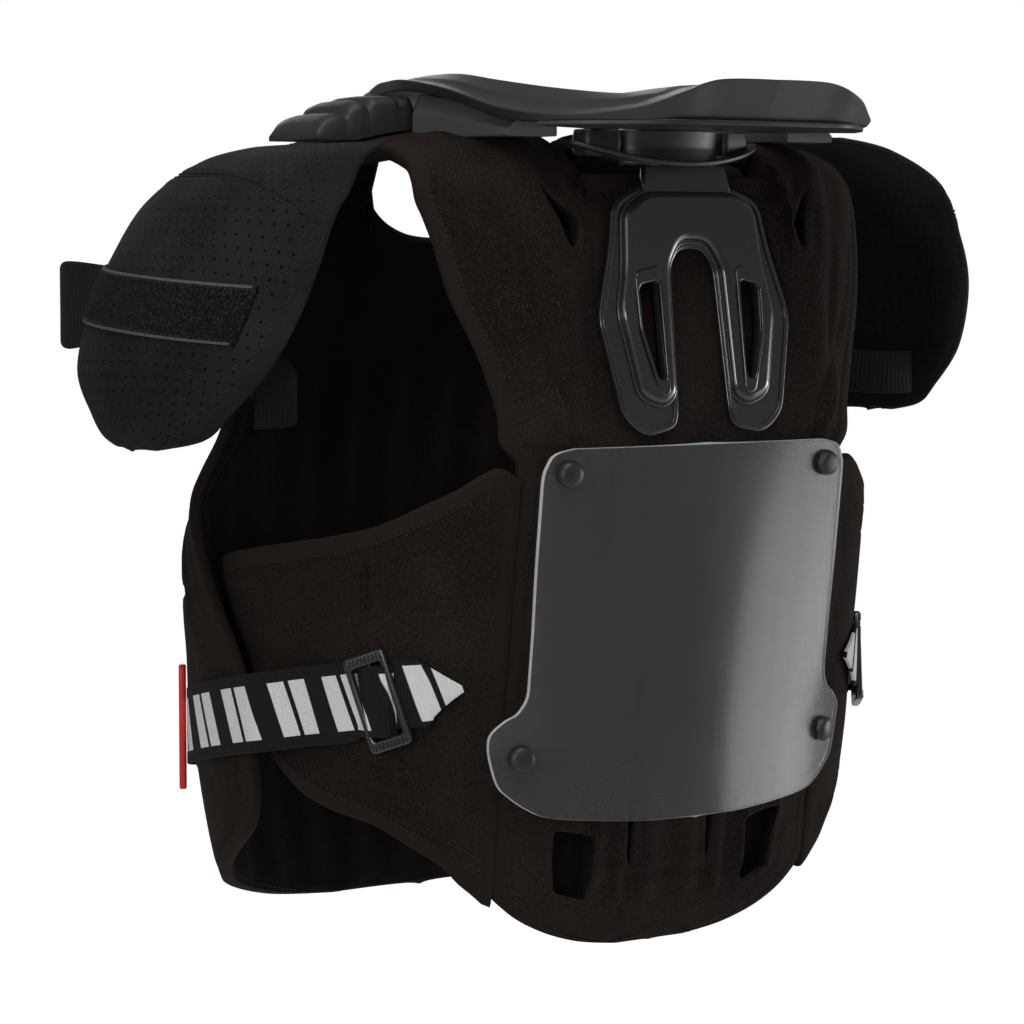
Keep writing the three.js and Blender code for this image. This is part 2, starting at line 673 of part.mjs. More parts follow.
function buildFrontPanel() {
  const [rows, columns] = [21, 16];
  const grid = Array.from({ length: rows + 1 }, (_, i) => {
    const place = ((frontRows.length - 1) * i) / rows;
    const edge = alongRows(frontRows, "turn", place);
    return Array.from({ length: columns + 1 }, (_, j) => {
      const t = (2 * j) / columns - 1;
      return frontSurface(edge * Math.sign(t) * Math.abs(t) ** 1.35, place);
    });
  });
  const hint = () => new THREE.Vector3(0, 1, 0);
  let solid = solidOf(wallFromGrid(grid, frontWall, hint));
  const neckHeight = frontNeckDrop + shoulderTop;
  const outline = ovalOutline(0, shoulderTop, neckHalfWidth, neckHeight, 28, frontNeckSquareness);
  solid = solid.subtract(solidOf(prismAlongY(outline, torsoCentreY, 3 * torsoDepth)));
  addPiece("front_panel", geometryOf(solid), paddedCloth());
}

// Point on the torso's ring at a height and a place forward of its centre, as a share of the depth there.
// layer is 0 on the wing's outer face and 1 on the chest panel's, and off lifts the point off that face.
function flankPoint(forward, z, layer, off) {
  const halfWidth = ringHalfWidth(z) + lap * layer;
  const rear = torsoDepth * alongRows(backRows, "depth", placeOf(backRows, "down", -z / backLength));
  const front = torsoDepth * alongRows(frontRows, "depth", placeOf(frontRows, "down", -z / backLength));
  const depth = forward < 0 ? rear : front - lap * (1 - layer);
  const share = Math.min(Math.abs(forward), 0.999);
  const x = halfWidth * (1 - share ** torsoSquareness) ** (1 / torsoSquareness);
  const y = torsoCentreY + forward * depth;
  const nx = (x / halfWidth) ** (torsoSquareness - 1) / halfWidth;
  const ny = (Math.sign(forward) * share ** (torsoSquareness - 1)) / depth;
  const normal = new THREE.Vector3(nx, ny, 0).normalize();
  return new THREE.Vector3(x, y, z).addScaledVector(normal, off);
}

function buildSideWings() {
  const [rows, columns] = [6, 16];
  const grid = Array.from({ length: rows + 1 }, (_, i) => Array.from({ length: columns + 1 }, (_, j) => {
    const place = ((wingRows.length - 1) * j) / columns;
    const forward = alongRows(wingRows, "forward", place);
    const top = -backLength * alongRows(wingRows, "top", place);
    const bottom = -backLength * alongRows(wingRows, "bottom", place);
    return flankPoint(forward, top + ((bottom - top) * i) / rows, 0, 0);
  }));
  const hint = () => new THREE.Vector3(1, 0, 0);
  const [seamX, outerX, endY] = [seamHalfWidth + gap, 2 * torsoHalfWidth, 2 * torsoDepth];
  const block = prismAlongZ(
    [[seamX, -endY], [outerX, -endY], [outerX, endY], [seamX, endY]],
    -2 * backLength,
    backLength,
  );
  const solid = solidOf(wallFromGrid(grid, wingWall, hint)).intersect(solidOf(block));
  addPair("side_wing", geometryOf(solid), paddedCloth);
}

function buildShoulderBridges() {
  const half = torsoHalfWidth * backRows[0].half;
  const [rows, columns] = [8, 6];
  const grid = Array.from({ length: rows + 1 }, (_, i) => Array.from({ length: columns + 1 }, (_, j) => {
    const x = neckHalfWidth + ((half - neckHalfWidth) * j) / columns;
    const rear = backSurface(x, 0);
    const front = frontSurface(turnOf(x), 0);
    const y = rear.y + 2 * gap + (front.y - rear.y - 4 * gap) * (i / rows);
    return new THREE.Vector3(x, y, rear.z + (front.z - rear.z) * (i / rows));
  }));
  const hint = () => new THREE.Vector3(0, 0, 1);
  addPair("shoulder_bridge", wallFromGrid(grid, panelWall, hint), paddedCloth);
}

// The collar's ring at a place in its table, counted on round the left half back to the rear.
function collarSection(place) {
  const last = collarRows.length - 1;
  const onLeft = place > last;
  const at = onLeft ? 2 * last - place : place;
  const side = onLeft ? -1 : 1;
  const value = (column) => alongRows(collarRows, column, at);
  const point = (x, y, z) => new THREE.Vector3(side * x, collarCentreY + y, z);
  const outX = collarHalfWidth * value("outX");
  const outY = collarHalfLength * value("outY");
  const crestX = collarHalfWidth * value("crestX");
  const crestY = collarHalfLength * value("crestY");
  const top = collarFoot + collarRise * value("top");
  const under = collarFoot + collarRise * value("under");
  const crest = collarFoot + collarRise * value("crest");
  const setIn = 1 - value("inset");
  const reach = Math.hypot(crestX, crestY * 0.8);
  const pull = (reach - collarInner) / reach;
  const [inX, inY] = [crestX * pull, crestY * pull];
  const inZ = Math.max(crest - collarWall, under + collarEdge);
  return [
    point(outX, outY, Math.max(top, under + collarEdge * 0.6)),
    point(outX * setIn, outY * setIn, under),
    point(inX, inY, inZ - collarEdge * 0.7),
    point(inX, inY, inZ),
    point(crestX * 0.96, crestY * 0.96, crest),
  ];
}

function buildCollar() {
  const spans = 60;
  const sections = Array.from({ length: spans }, (_, i) => {
    return collarSection((2 * (collarRows.length - 1) * i) / spans);
  });
  addPiece("collar_shell", loft(sections, true), brace());
}

function buildCollarBase() {
  const reach = 4.4;
  const spans = 24;
  const sections = Array.from({ length: spans + 1 }, (_, i) => {
    const place = ((2 * i) / spans - 1) * reach;
    const side = Math.sign(place) || 1;
    const at = Math.abs(place);
    const outX = side * collarHalfWidth * alongRows(collarRows, "outX", at) * 0.985;
    const outY = collarCentreY + collarHalfLength * alongRows(collarRows, "outY", at) * 0.95;
    const inX = outX * 0.45;
    const inY = outY + (bracketY - outY) * 0.75;
    const top = collarFoot - gap;
    const low = top - flangeThickness;
    return [
      new THREE.Vector3(outX, outY, top),
      new THREE.Vector3(outX, outY, low),
      new THREE.Vector3(inX, inY, low),
      new THREE.Vector3(inX, inY, top),
    ];
  });
  addPiece("collar_base", loft(sections), brace());
}

// A wedge block under the collar's side, which stands on the shoulder.
function buildCollarBlocks() {
  const rearY = collarCentreY - blockRear;
  const frontY = collarCentreY + blockFront;
  const steps = 8;
  const inner = neckHalfWidth + blockSetIn;
  const outer = collarHalfWidth * 0.93;
  const sections = Array.from({ length: steps + 1 }, (_, i) => {
    const y = rearY + ((frontY - rearY) * i) / steps;
    const foot = collarFootAt(y) - 4 * gap;
    const low = Math.min(shoulderTop + gap, foot - 1.5);
    return [
      new THREE.Vector3(inner, y, low),
      new THREE.Vector3(outer, y, low),
      new THREE.Vector3(outer, y, low + (foot - low) * 0.5),
      new THREE.Vector3(outer - blockBevel, y, foot),
      new THREE.Vector3(inner, y, foot),
    ];
  });
  addPair("collar_block", loft(sections), brace);
}

// Height of the collar's outer foot at a place along its side.
function collarFootAt(y) {
  const share = (y - collarCentreY) / collarHalfLength;
  return collarFoot + collarRise * alongRows(collarRows, "under", placeOf(collarRows, "outY", share));
}

// The cup under the collar: a round wall, a lip that turns up at its ends and two cheeks.
function buildNeckBracket() {
  const wallHalf = bracketHalfWidth * 0.5;
  const top = collarFoot - 2 * gap - flangeThickness;
  const lipZ = (x) => 1 + 11 * (x / bracketHalfWidth) ** 2;
  const lipY = (x) => bracketY - bracketDepth * (1 - (0.98 * x / bracketHalfWidth) ** 2) ** 0.5;
  const spans = 20;
  const lip = Array.from({ length: spans + 1 }, (_, i) => {
    const x = bracketHalfWidth * ((2 * i) / spans - 1);
    const [y, z] = [lipY(x), lipZ(x)];
    const inner = Math.min(y + 12, bracketY + 4);
    return [
      new THREE.Vector3(x, y, z + lipThickness),
      new THREE.Vector3(x, y + 0.6, z),
      new THREE.Vector3(x, inner, z),
      new THREE.Vector3(x, inner, z + lipThickness),
    ];
  });
  const wall = Array.from({ length: spans + 1 }, (_, i) => {
    const t = (2 * i) / spans - 1;
    const x = wallHalf * Math.sin((t * Math.PI) / 2);
    const y = bracketY - (bracketDepth - 5) * (0.35 + 0.65 * Math.cos((t * Math.PI) / 2));
    return [
      new THREE.Vector3(x, y, top),
      new THREE.Vector3(x, y, 2),
      new THREE.Vector3(x * 0.86, y + 5, 2),
      new THREE.Vector3(x * 0.86, y + 5, top),
    ];
  });
  let solid = solidOf(loft(lip)).add(solidOf(loft(wall)));
  for (const side of [-1, 1]) {
    const cheek = new THREE.BoxGeometry(7, bracketDepth * 0.5, top - lipZ(bracketHalfWidth));
    cheek.translate(side * (bracketHalfWidth - 6), bracketY - 3, (top + lipZ(bracketHalfWidth)) / 2);
    solid = solid.add(solidOf(cheek));
  }
  addPiece("neck_bracket", geometryOf(solid), brace());
}

// Both halves of an outline that is listed for the right half from the middle of the top down.
function wholeOutline(rows, halfWidth, length) {
  const right = rows.map((p) => [p.x * halfWidth, -p.down * length]);
  const left = right.map(([x, z]) => [-x, z]).reverse();
  return [...left, ...right];
}

// A flat shape drawn in X and Z, raised to a thickness toward the rear with a bevel on its outer rim.
function raisedPlate(outline, thickness, bevel) {
  const shape = new THREE.Shape(outline.map(([x, z]) => new THREE.Vector2(x, z)));
  const settings = {
    depth: thickness - 2 * bevel,
    bevelEnabled: bevel > 0,
    bevelThickness: bevel,
    bevelSize: bevel,
    bevelOffset: -bevel,
    bevelSegments: 1,
  };
  const geometry = new THREE.ExtrudeGeometry(shape, settings);
  geometry.translate(0, 0, bevel);
  geometry.rotateX(Math.PI / 2);
  return geometry;
}

// The strut's flange with the short neck that joins it to the bracket, grown by a margin on its sides.
function strutFlangeSolid(rows, thickness, margin) {
  const half = strutHalfWidth + margin;
  const neckTop = -strutTopZ - 2 * gap + margin;
  const neck = [
    [-0.47 * half, -0.04 * strutLength],
    [-0.42 * half, neckTop],
    [0.42 * half, neckTop],
    [0.47 * half, -0.04 * strutLength],
  ];
  const flange = raisedPlate(wholeOutline(rows, half, strutLength), thickness, 0);
  return solidOf(flange).add(solidOf(raisedPlate(neck, thickness, 0)));
}

// Leans a shape drawn at the strut's top back along the spine, with its flat face on the back panel.
function placeOnStrut(geometry) {
  geometry.rotateX(-Math.atan2(strutLean, strutLength));
  geometry.translate(0, strutTopY + strutFlange, strutTopZ);
  return geometry;
}

function buildBackStrut() {
  const outline = wholeOutline(faceOutline, strutHalfWidth, strutLength);
  const face = raisedPlate(outline, strutFlange + strutFace, 2);
  let solid = strutFlangeSolid(strutOutline, strutFlange, 0).add(solidOf(face));
  for (const side of [-1, 1]) {
    const slot = legSlot.map((p) => [side * p.x * strutHalfWidth, -p.down * strutLength]);
    const ordered = side > 0 ? slot : slot.reverse();
    solid = solid.subtract(solidOf(prismAlongY(ordered, -4 * strutFace, 4 * strutFace)));
  }
  addPiece("back_strut", placeOnStrut(geometryOf(solid)), glossy());
}

// Depth of the clear plate's outer face: bowed a little at its top and more at its foot.
function plateY(x, z) {
  const down = (plateTopZ - z) / plateLength;
  const middle = backY(0, plateTopZ) - 6.5 + 8 * down;
  const bow = 8 + 18 * THREE.MathUtils.clamp(down / 0.8, 0, 1);
  return middle + bow * (x / plateHalfWidth) ** 2;
}

function buildPlate() {
  const columns = 10;
  const last = plateRows.length - 1;
  const rows = 15;
  const grid = Array.from({ length: rows + 1 }, (_, i) => {
    const place = (last * i) / rows;
    const z = plateTopZ - plateLength * alongRows(plateRows, "down", place);
    const half = plateHalfWidth * alongRows(plateRows, "half", place);
    return Array.from({ length: columns + 1 }, (_, j) => {
      const x = half * ((2 * j) / columns - 1);
      return new THREE.Vector3(x, plateY(x, z), z);
    });
  });
  const hint = () => new THREE.Vector3(0, -1, 0);
  let solid = solidOf(wallFromGrid(grid, plateThickness, hint));
  let number = 1;
  for (const place of studPlaces) {
    for (const side of [-1, 1]) {
      const x = side * place.across * plateHalfWidth;
      const z = plateTopZ - plateLength * place.down;
      const turn = Math.atan2(plateY(x + 1, z) - plateY(x - 1, z), 2);
      const seat = backY(x, z) - 2 * gap - ribRelief(x, z);
      const shank = plateY(x, z) - 4 * gap;
      const foot = Math.max(seat - shank, plateThickness + 1);
      const profile = [
        [0, -studHeight],
        [studDiameter * 0.3, -studHeight * 0.85],
        [studDiameter * 0.45, -studHeight * 0.4],
        [studDiameter * 0.5, 0],
        [studDiameter * 0.22, 0],
        [studDiameter * 0.22, foot],
        [0, foot],
      ].map(([r, y]) => new THREE.Vector2(r, y));
      const stud = new THREE.LatheGeometry(profile, 10);
      stud.rotateZ(turn);
      stud.translate(x, shank, z);
      const hole = new THREE.CylinderGeometry(studDiameter * 0.27, studDiameter * 0.3, 3 * studDiameter, 10);
      hole.rotateZ(turn);
      hole.translate(x, shank, z);
      solid = solid.subtract(solidOf(hole));
      addPiece(`plate_stud_${number}`, geometryOf(solidOf(stud)), glossy());
      number += 1;
    }
  }
  addPiece("number_plate", geometryOf(solid), clearSheet());
}

// Outer point of the right shoulder cap at a place in its table and a share from rear to front.
function capPoint(place, along) {
  const value = (column) => alongRows(capRows, column, place);
  const middle = (value("rear") + value("front")) / 2;
  const half = (value("front") - value("rear")) / 2;
  const u = 2 * along - 1;
  const reach = capReach * (value("reach") - value("curl") * Math.abs(u) ** 2.4);
  const z = capTop - capHeight * value("down");
  return new THREE.Vector3(reach, capCentreY + capHalfLength * (middle + half * u), z);
}

function buildShoulderCaps() {
  const [rows, columns] = [11, 11];
  const last = capRows.length - 1;
  const grid = Array.from({ length: rows + 1 }, (_, i) => {
    return Array.from({ length: columns + 1 }, (_, j) => capPoint((last * i) / rows, j / columns));
  });
  const hint = () => new THREE.Vector3(1, 0, 0.2);
  addPair("shoulder_cap", wallFromGrid(grid, capWall, hint), capCloth, rightCapLift);

  const band = Array.from({ length: 4 }, (_, i) => Array.from({ length: 11 }, (_, j) => {
    const along = patchStart + (0.99 - patchStart) * (j / 10);
    return capPoint(patchPlace + patchSpan * (i / 3) + patchSlope * (1 - along), along);
  }));
  const lifted = liftedGrid(band, patchThickness + gap, hint());
  addPair("cap_patch", wallFromGrid(lifted, patchThickness, hint), webbing, rightCapLift);
}

// A grid moved off its own surface by a distance, on the side of the hint.
function liftedGrid(grid, distance, hint) {
  const [rows, columns] = [grid.length, grid[0].length];
  return grid.map((row, i) => row.map((point, j) => {
    const [a, b] = [row[Math.min(j + 1, columns - 1)], row[Math.max(j - 1, 0)]];
    const [c, d] = [grid[Math.min(i + 1, rows - 1)][j], grid[Math.max(i - 1, 0)][j]];
    const across = new THREE.Vector3().subVectors(a, b);
    const normal = across.cross(new THREE.Vector3().subVectors(c, d)).normalize();
    return point.clone().addScaledVector(normal, distance * Math.sign(normal.dot(hint) || 1));
  }));
}

// A flat band along a path: each section stands on its edge, facing away from the hint.
function bandAlong(points, widths, thickness, outwardAt) {
  const sections = points.map((point, i) => {
    const before = points[Math.max(i - 1, 0)];
    const after = points[Math.min(i + 1, points.length - 1)];
    const along = new THREE.Vector3().subVectors(after, before).normalize();
    const out = outwardAt(point, along).normalize();
    const across = new THREE.Vector3().crossVectors(along, out).normalize();
    const [w, t] = [widths[i] / 2, thickness];
    return [
      point.clone().addScaledVector(across, w),
      point.clone().addScaledVector(across, w).addScaledVector(out, t),
      point.clone().addScaledVector(across, -w).addScaledVector(out, t),
      point.clone().addScaledVector(across, -w),
    ];
  });
  return loft(sections);
}

// Place on the right flank where the waist webbing runs, from the chest (0) to the buckle (1).
function waistPoint(share, off) {
  const place = (waistRows.length - 1) * share;
  const forward = alongRows(waistRows, "forward", place);
  const z = -backLength * alongRows(waistRows, "down", place);
  return flankPoint(forward, z, alongRows(waistRows, "layer", place), 6 * gap + off);
}

function buildWaistStraps() {
  const steps = 20;
  const points = Array.from({ length: steps + 1 }, (_, i) => waistPoint(i / steps, 0));
  const outwardAt = (point, along) => new THREE.Vector3(along.y, -along.x, 0).multiplyScalar(-1);
  const facing = (point, along) => {
    const out = outwardAt(point, along);
    return out.x < 0 ? out.negate() : out;
  };
  const widths = points.map(() => webbingWidth);
  addPair("waist_strap", bandAlong(points, widths, webbingThickness, facing), webbing);

  const tabRows = [
    { forward: -0.73, down: 0.651, breadth: 0.85 },
    { forward: -0.76, down: 0.65, breadth: 0.85 },
    { forward: -0.79, down: 0.648, breadth: 0.62 },
    { forward: -0.83, down: 0.646, breadth: 0.3 },
    { forward: -0.86, down: 0.645, breadth: 0.06 },
  ];
  const tab = tabRows.map((row) => flankPoint(row.forward, -backLength * row.down, 0, 7 * gap));
  const tabWidths = tabRows.map((row) => webbingWidth * row.breadth);
  addPair("strap_tab", bandAlong(tab, tabWidths, webbingThickness, facing), webbing);

  const seat = waistRows[waistRows.length - 1];
  const centre = flankPoint(seat.forward - 0.1, -backLength * (seat.down - 0.003), 0, 10 * gap);
  const ahead = flankPoint(seat.forward - 0.16, centre.z, 0, 10 * gap);
  const frame = new THREE.Shape(roundedBox(buckleLength, buckleHeight, 3));
  for (const side of [-1, 1]) {
    const window = roundedBox(buckleLength * 0.27, buckleHeight - 2 * buckleEnd, 1.5);
    const moved = window.map((p) => new THREE.Vector2(p.x + side * buckleLength * 0.22, p.y));
    frame.holes.push(new THREE.Path(moved.reverse()));
  }
  const buckle = new THREE.ExtrudeGeometry(frame, { depth: buckleThickness, bevelEnabled: false });
  buckle.rotateX(Math.PI / 2);
  buckle.rotateY(buckleTilt);
  const direction = new THREE.Vector3().subVectors(ahead, centre);
  buckle.rotateZ(Math.atan2(direction.y, direction.x) + Math.PI);
  buckle.translate(centre.x, centre.y, centre.z);
  addPair("strap_buckle", geometryOf(solidOf(buckle)), glossy);

  const foot = waistPoint(hookPlace, webbingThickness + 3 * gap);
  const bar = new THREE.ExtrudeGeometry(new THREE.Shape(roundedBox(hookWidth, hookLength, 3.5)), {
    depth: hookThickness,
    bevelEnabled: false,
  });
  bar.rotateX(Math.PI / 2);
  const next = waistPoint(hookPlace + 0.05, webbingThickness + 3 * gap);
  bar.rotateZ(Math.atan2(next.y - foot.y, next.x - foot.x) + Math.PI);
  bar.translate(foot.x, foot.y, foot.z);
  addPair("strap_hook", geometryOf(solidOf(bar)), redPlastic);
}

// A rectangle with rounded corners, centred on its own origin.
function roundedBox(width, height, radius) {
  const points = [];
  const corners = [[1, 1, 0], [-1, 1, 1], [-1, -1, 2], [1, -1, 3]];
  for (const [sx, sy, quarter] of corners) {
    for (const step of [0, 1, 2]) {
      const angle = (Math.PI / 2) * (quarter + step / 2);
      const x = sx * (width / 2 - radius) + radius * Math.cos(angle);
      const y = sy * (height / 2 - radius) + radius * Math.sin(angle);
      points.push(new THREE.Vector2(x, y));
    }
  }
  return points;
}

// The link lies on the shoulder and its outer end on the top of the cap, which is higher on the right.
function linkBody(lift) {
  const start = collarHalfWidth - linkSetIn;
  const capEdge = capReach * capRows[0].reach;
  const run = capEdge + linkOverlap - start;
  const bridgeEdge = torsoHalfWidth * backRows[0].half;
  const upper = [];
  const lower = [];
  for (const row of linkProfile) {
    const x = start + run * row.along;
    const raised = lift * THREE.MathUtils.smoothstep(x, bridgeEdge - linkRamp, bridgeEdge);
    const cloth = shoulderTop - shoulderDrop(Math.min(x, capEdge), -seamRise);
    const onCap = x > bridgeEdge + gap ? capTop + raised : -Infinity;
    const low = Math.max(cloth, onCap) + 3 * gap;
    upper.push([x, Math.max(shoulderTop + linkHeight * row.high + raised, low + 2)]);
    lower.push([x, low]);
  }
  const geometry = prismAlongY([...upper, ...lower.reverse()], linkY - linkWidth / 2, linkY + linkWidth / 2);
  return geometryOf(solidOf(geometry));
}

function buildShoulderLinks() {
  addPiece("shoulder_link_left", mirrored(linkBody(0)), rubber());
  addPiece("shoulder_link_right", linkBody(rightCapLift), rubber());
}

function buildArmStraps() {
  const steps = 22;
  const last = armStrapRows.length - 1;
  const value = (column, i) => alongRows(armStrapRows, column, (last * i) / steps);
  const points = Array.from({ length: steps + 1 }, (_, i) => new THREE.Vector3(
    capReach * value("x", i),
    capCentreY + capHalfLength * value("y", i),
    capTop - capHeight * value("down", i),
  ));
  const widths = points.map((_, i) => armStrapWidth * value("breadth", i));
  const outwardAt = (point) => new THREE.Vector3(point.x - capReach * 0.8, point.y - capCentreY, 0);
  addPair("arm_strap", bandAlong(points, widths, armStrapThickness, outwardAt), webbing, rightCapLift);
}

buildBackPanel();
buildFrontPanel();
buildSideWings();
buildShoulderBridges();
buildCollar();
buildCollarBase();
buildCollarBlocks();
buildNeckBracket();
buildBackStrut();
buildPlate();
buildWaistStraps();
buildShoulderCaps();
buildShoulderLinks();
buildArmStraps();

export default vest;
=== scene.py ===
"""Looks of a roost deflector: a padded riding vest with a hard neck collar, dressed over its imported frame.

Lengths are millimetres until a mesh is made. +X is the wearer's right, +Y the chest side and +Z up.
"""

import logging
import math
from dataclasses import dataclass, field
from enum import Enum
from typing import Callable, ClassVar, Optional, Sequence

import bmesh
import bpy
import numpy as np
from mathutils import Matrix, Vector

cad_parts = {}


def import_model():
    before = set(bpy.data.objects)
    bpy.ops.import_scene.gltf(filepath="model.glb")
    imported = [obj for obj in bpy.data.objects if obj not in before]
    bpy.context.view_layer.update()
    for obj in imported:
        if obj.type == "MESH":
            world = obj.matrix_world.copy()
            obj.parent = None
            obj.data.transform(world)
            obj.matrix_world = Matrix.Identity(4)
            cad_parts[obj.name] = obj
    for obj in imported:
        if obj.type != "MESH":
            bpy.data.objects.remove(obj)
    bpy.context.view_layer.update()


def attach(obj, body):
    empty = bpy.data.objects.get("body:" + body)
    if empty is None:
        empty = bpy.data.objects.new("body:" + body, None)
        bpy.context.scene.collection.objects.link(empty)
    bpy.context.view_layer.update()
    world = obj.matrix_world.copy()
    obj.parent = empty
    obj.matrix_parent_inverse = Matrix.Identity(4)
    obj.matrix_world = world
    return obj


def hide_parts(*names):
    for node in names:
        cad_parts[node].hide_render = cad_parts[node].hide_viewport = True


log = logging.getLogger("vest")
MM = 0.001
GAP = 0.3


class Side(Enum):
    """The wearer's side that a piece belongs to."""

    LEFT = -1
    RIGHT = 1

    def name_of(self, word: str) -> str:
        """The piece's name on this side."""
        return f"{word}_{self.name.lower()}"

    def turn(self, points: np.ndarray) -> np.ndarray:
        """Points made for the right side, on this side."""
        return points * np.array([self.value, 1, 1])


class Table:
    """A short table of rows with named columns, read smoothly between its rows."""

    def __init__(self, names: str, *rows: Sequence[float]) -> None:
        """Stores the rows by column."""
        self.columns = dict(zip(names.split(), np.array(rows, dtype=float).T))
        self.last = len(rows) - 1

    def at(self, column: str, place: np.ndarray) -> np.ndarray:
        """Value of a column at places counted in rows, on a cubic that doesn't overshoot its rows.

        Args:
            column: name of the column.
            place: places between 0 and the last row.

        Returns:
            The values at those places.
        """
        values = self.columns[column]
        spot = np.clip(np.asarray(place, dtype=float), 0, self.last)
        row = np.minimum(spot.astype(int), self.last - 1)
        t = spot - row
        a, b, c, d = (values[np.clip(row + k, 0, self.last)] for k in (-1, 0, 1, 2))
        rise = c - b
        m0 = np.where((b - a) * rise > 0, (c - a) / 2, 0)
        m1 = np.where((d - c) * rise > 0, (d - b) / 2, 0)
        return (
            (2 * t**3 - 3 * t**2 + 1) * b + (t**3 - 2 * t**2 + t) * m0
            + (3 * t**2 - 2 * t**3) * c + (t**3 - t**2) * m1
        )

    def place(self, column: str, value: np.ndarray) -> np.ndarray:
        """Places where a rising column reaches some values."""
        dense = np.linspace(0, self.last, 800)
        return np.interp(value, self.at(column, dense), dense)


def smoothstep(x: np.ndarray, low: float, high: float) -> np.ndarray:
    """Rises smoothly from 0 at low to 1 at high."""
    t = np.clip((x - low) / (high - low), 0, 1)
    return t * t * (3 - 2 * t)


def ridge(distance: np.ndarray, breadth: float) -> np.ndarray:
    """A soft ridge: 1 on its line, falling off as exp(-(distance over breadth)**2)."""
    return np.exp(-(distance / breadth) ** 2)


def unit(vectors: np.ndarray) -> np.ndarray:
    """The vectors at length one."""
    return vectors / (np.linalg.norm(vectors, axis=-1, keepdims=True) + 1e-9)


def grid_normals(grid: np.ndarray, hint: Sequence[float]) -> np.ndarray:
    """Normals of a grid of points.

    Args:
        grid: the points, row by row.
        hint: rough direction of the outer side at the grid's middle.

    Returns:
        A unit normal for each point.
    """
    normal = unit(np.cross(np.gradient(grid, axis=1), np.gradient(grid, axis=0)))
    middle = normal[grid.shape[0] // 2, grid.shape[1] // 2]
    return normal if middle @ np.array(hint) > 0 else -normal


def edge_distances(grid: np.ndarray) -> tuple[np.ndarray, np.ndarray, np.ndarray, np.ndarray]:
    """Distances over the surface to the grid's four edges.

    Args:
        grid: the surface's points.

    Returns:
        Distances to the first column, the last column, the first row and the last row.
    """
    across = np.linalg.norm(np.diff(grid, axis=1), axis=2)
    down = np.linalg.norm(np.diff(grid, axis=0), axis=2)
    first_column = np.pad(np.cumsum(across, axis=1), ((0, 0), (1, 0)))
    first_row = np.pad(np.cumsum(down, axis=0), ((1, 0), (0, 0)))
    return first_column, first_column[:, -1:] - first_column, first_row, first_row[-1:] - first_row


def edge_inset(grid: np.ndarray) -> np.ndarray:
    """Distance over the surface to the nearest edge of the grid."""
    return np.minimum.reduce(edge_distances(grid))


def grid_faces(rows: int, columns: int, start: int = 0, ring: bool = False) -> np.ndarray:
    """Quads of a grid of points that are stored row by row.

    Args:
        rows: number of rows.
        columns: number of columns.
        start: number of the grid's first point.
        ring: whether each row closes on itself.

    Returns:
        Four point numbers for each quad.
    """
    i, j = np.meshgrid(np.arange(rows - 1), np.arange(columns if ring else columns - 1), indexing="ij")
    k = (j + 1) % columns
    quads = [i * columns + j, i * columns + k, (i + 1) * columns + k, (i + 1) * columns + j]
    return start + np.stack(quads, axis=-1).reshape(-1, 4)


def make_piece(
    name: str,
    points: np.ndarray,
    faces: list,
    finishes: Sequence["Finish"],
    which: Optional[np.ndarray] = None,
    place: Optional[np.ndarray] = None,
    crease: float = 50.0,
    even: bool = False,
) -> bpy.types.Object:
    """Makes an object from points and faces, with its normals turned outwards.

    Args:
        name: the piece's name.
        points: points in millimetres.
        faces: lists of point numbers.
        finishes: one finish for each material slot.
        which: the slot of each face, or None for the first.
        place: three values for each point that its finish reads, such as run, breadth and inset.
        crease: angle in degrees above which an edge stays sharp.
        even: whether large faces lead the normals at its rounded edges.

    Returns:
        The object, at the origin.
    """
    mesh = bpy.data.meshes.new(name)
    mesh.from_pydata((np.asarray(points) * MM).tolist(), [], faces)
    if place is not None:
        attribute = mesh.attributes.new("place", "FLOAT_VECTOR", "POINT")
        attribute.data.foreach_set("vector", np.ascontiguousarray(place, dtype=np.float32).ravel())
    for finish in finishes:
        mesh.materials.append(finish.material())
    if which is not None:
        mesh.polygons.foreach_set("material_index", which.astype(np.int32))
    bm = bmesh.new()
    bm.from_mesh(mesh)
    bmesh.ops.recalc_face_normals(bm, faces=bm.faces)
    bm.to_mesh(mesh)
    bm.free()
    mesh.shade_smooth()
    mesh.set_sharp_from_angle(angle=math.radians(crease))
    piece = bpy.data.objects.new(name, mesh)
    bpy.context.scene.collection.objects.link(piece)
    if even:
        piece.modifiers.new("even", "WEIGHTED_NORMAL")
    return piece


def settle(piece: bpy.types.Object, nodes: Sequence[str] = ()) -> None:
    """Ties a piece to the frame and reports it.

    Args:
        piece: the object.
        nodes: the frame's nodes that it stands for.
    """
    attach(piece, "root")
    if nodes:
        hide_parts(*nodes)
    log.info("%s: %d faces", piece.name, len(piece.data.polygons))


def apply_modifiers(piece: bpy.types.Object) -> None:
    """Applies an object's modifiers to its mesh.

    Args:
        piece: the object.
    """
    shape = bpy.data.meshes.new_from_object(piece.evaluated_get(bpy.context.evaluated_depsgraph_get()))
    piece.modifiers.clear()
    piece.data = shape


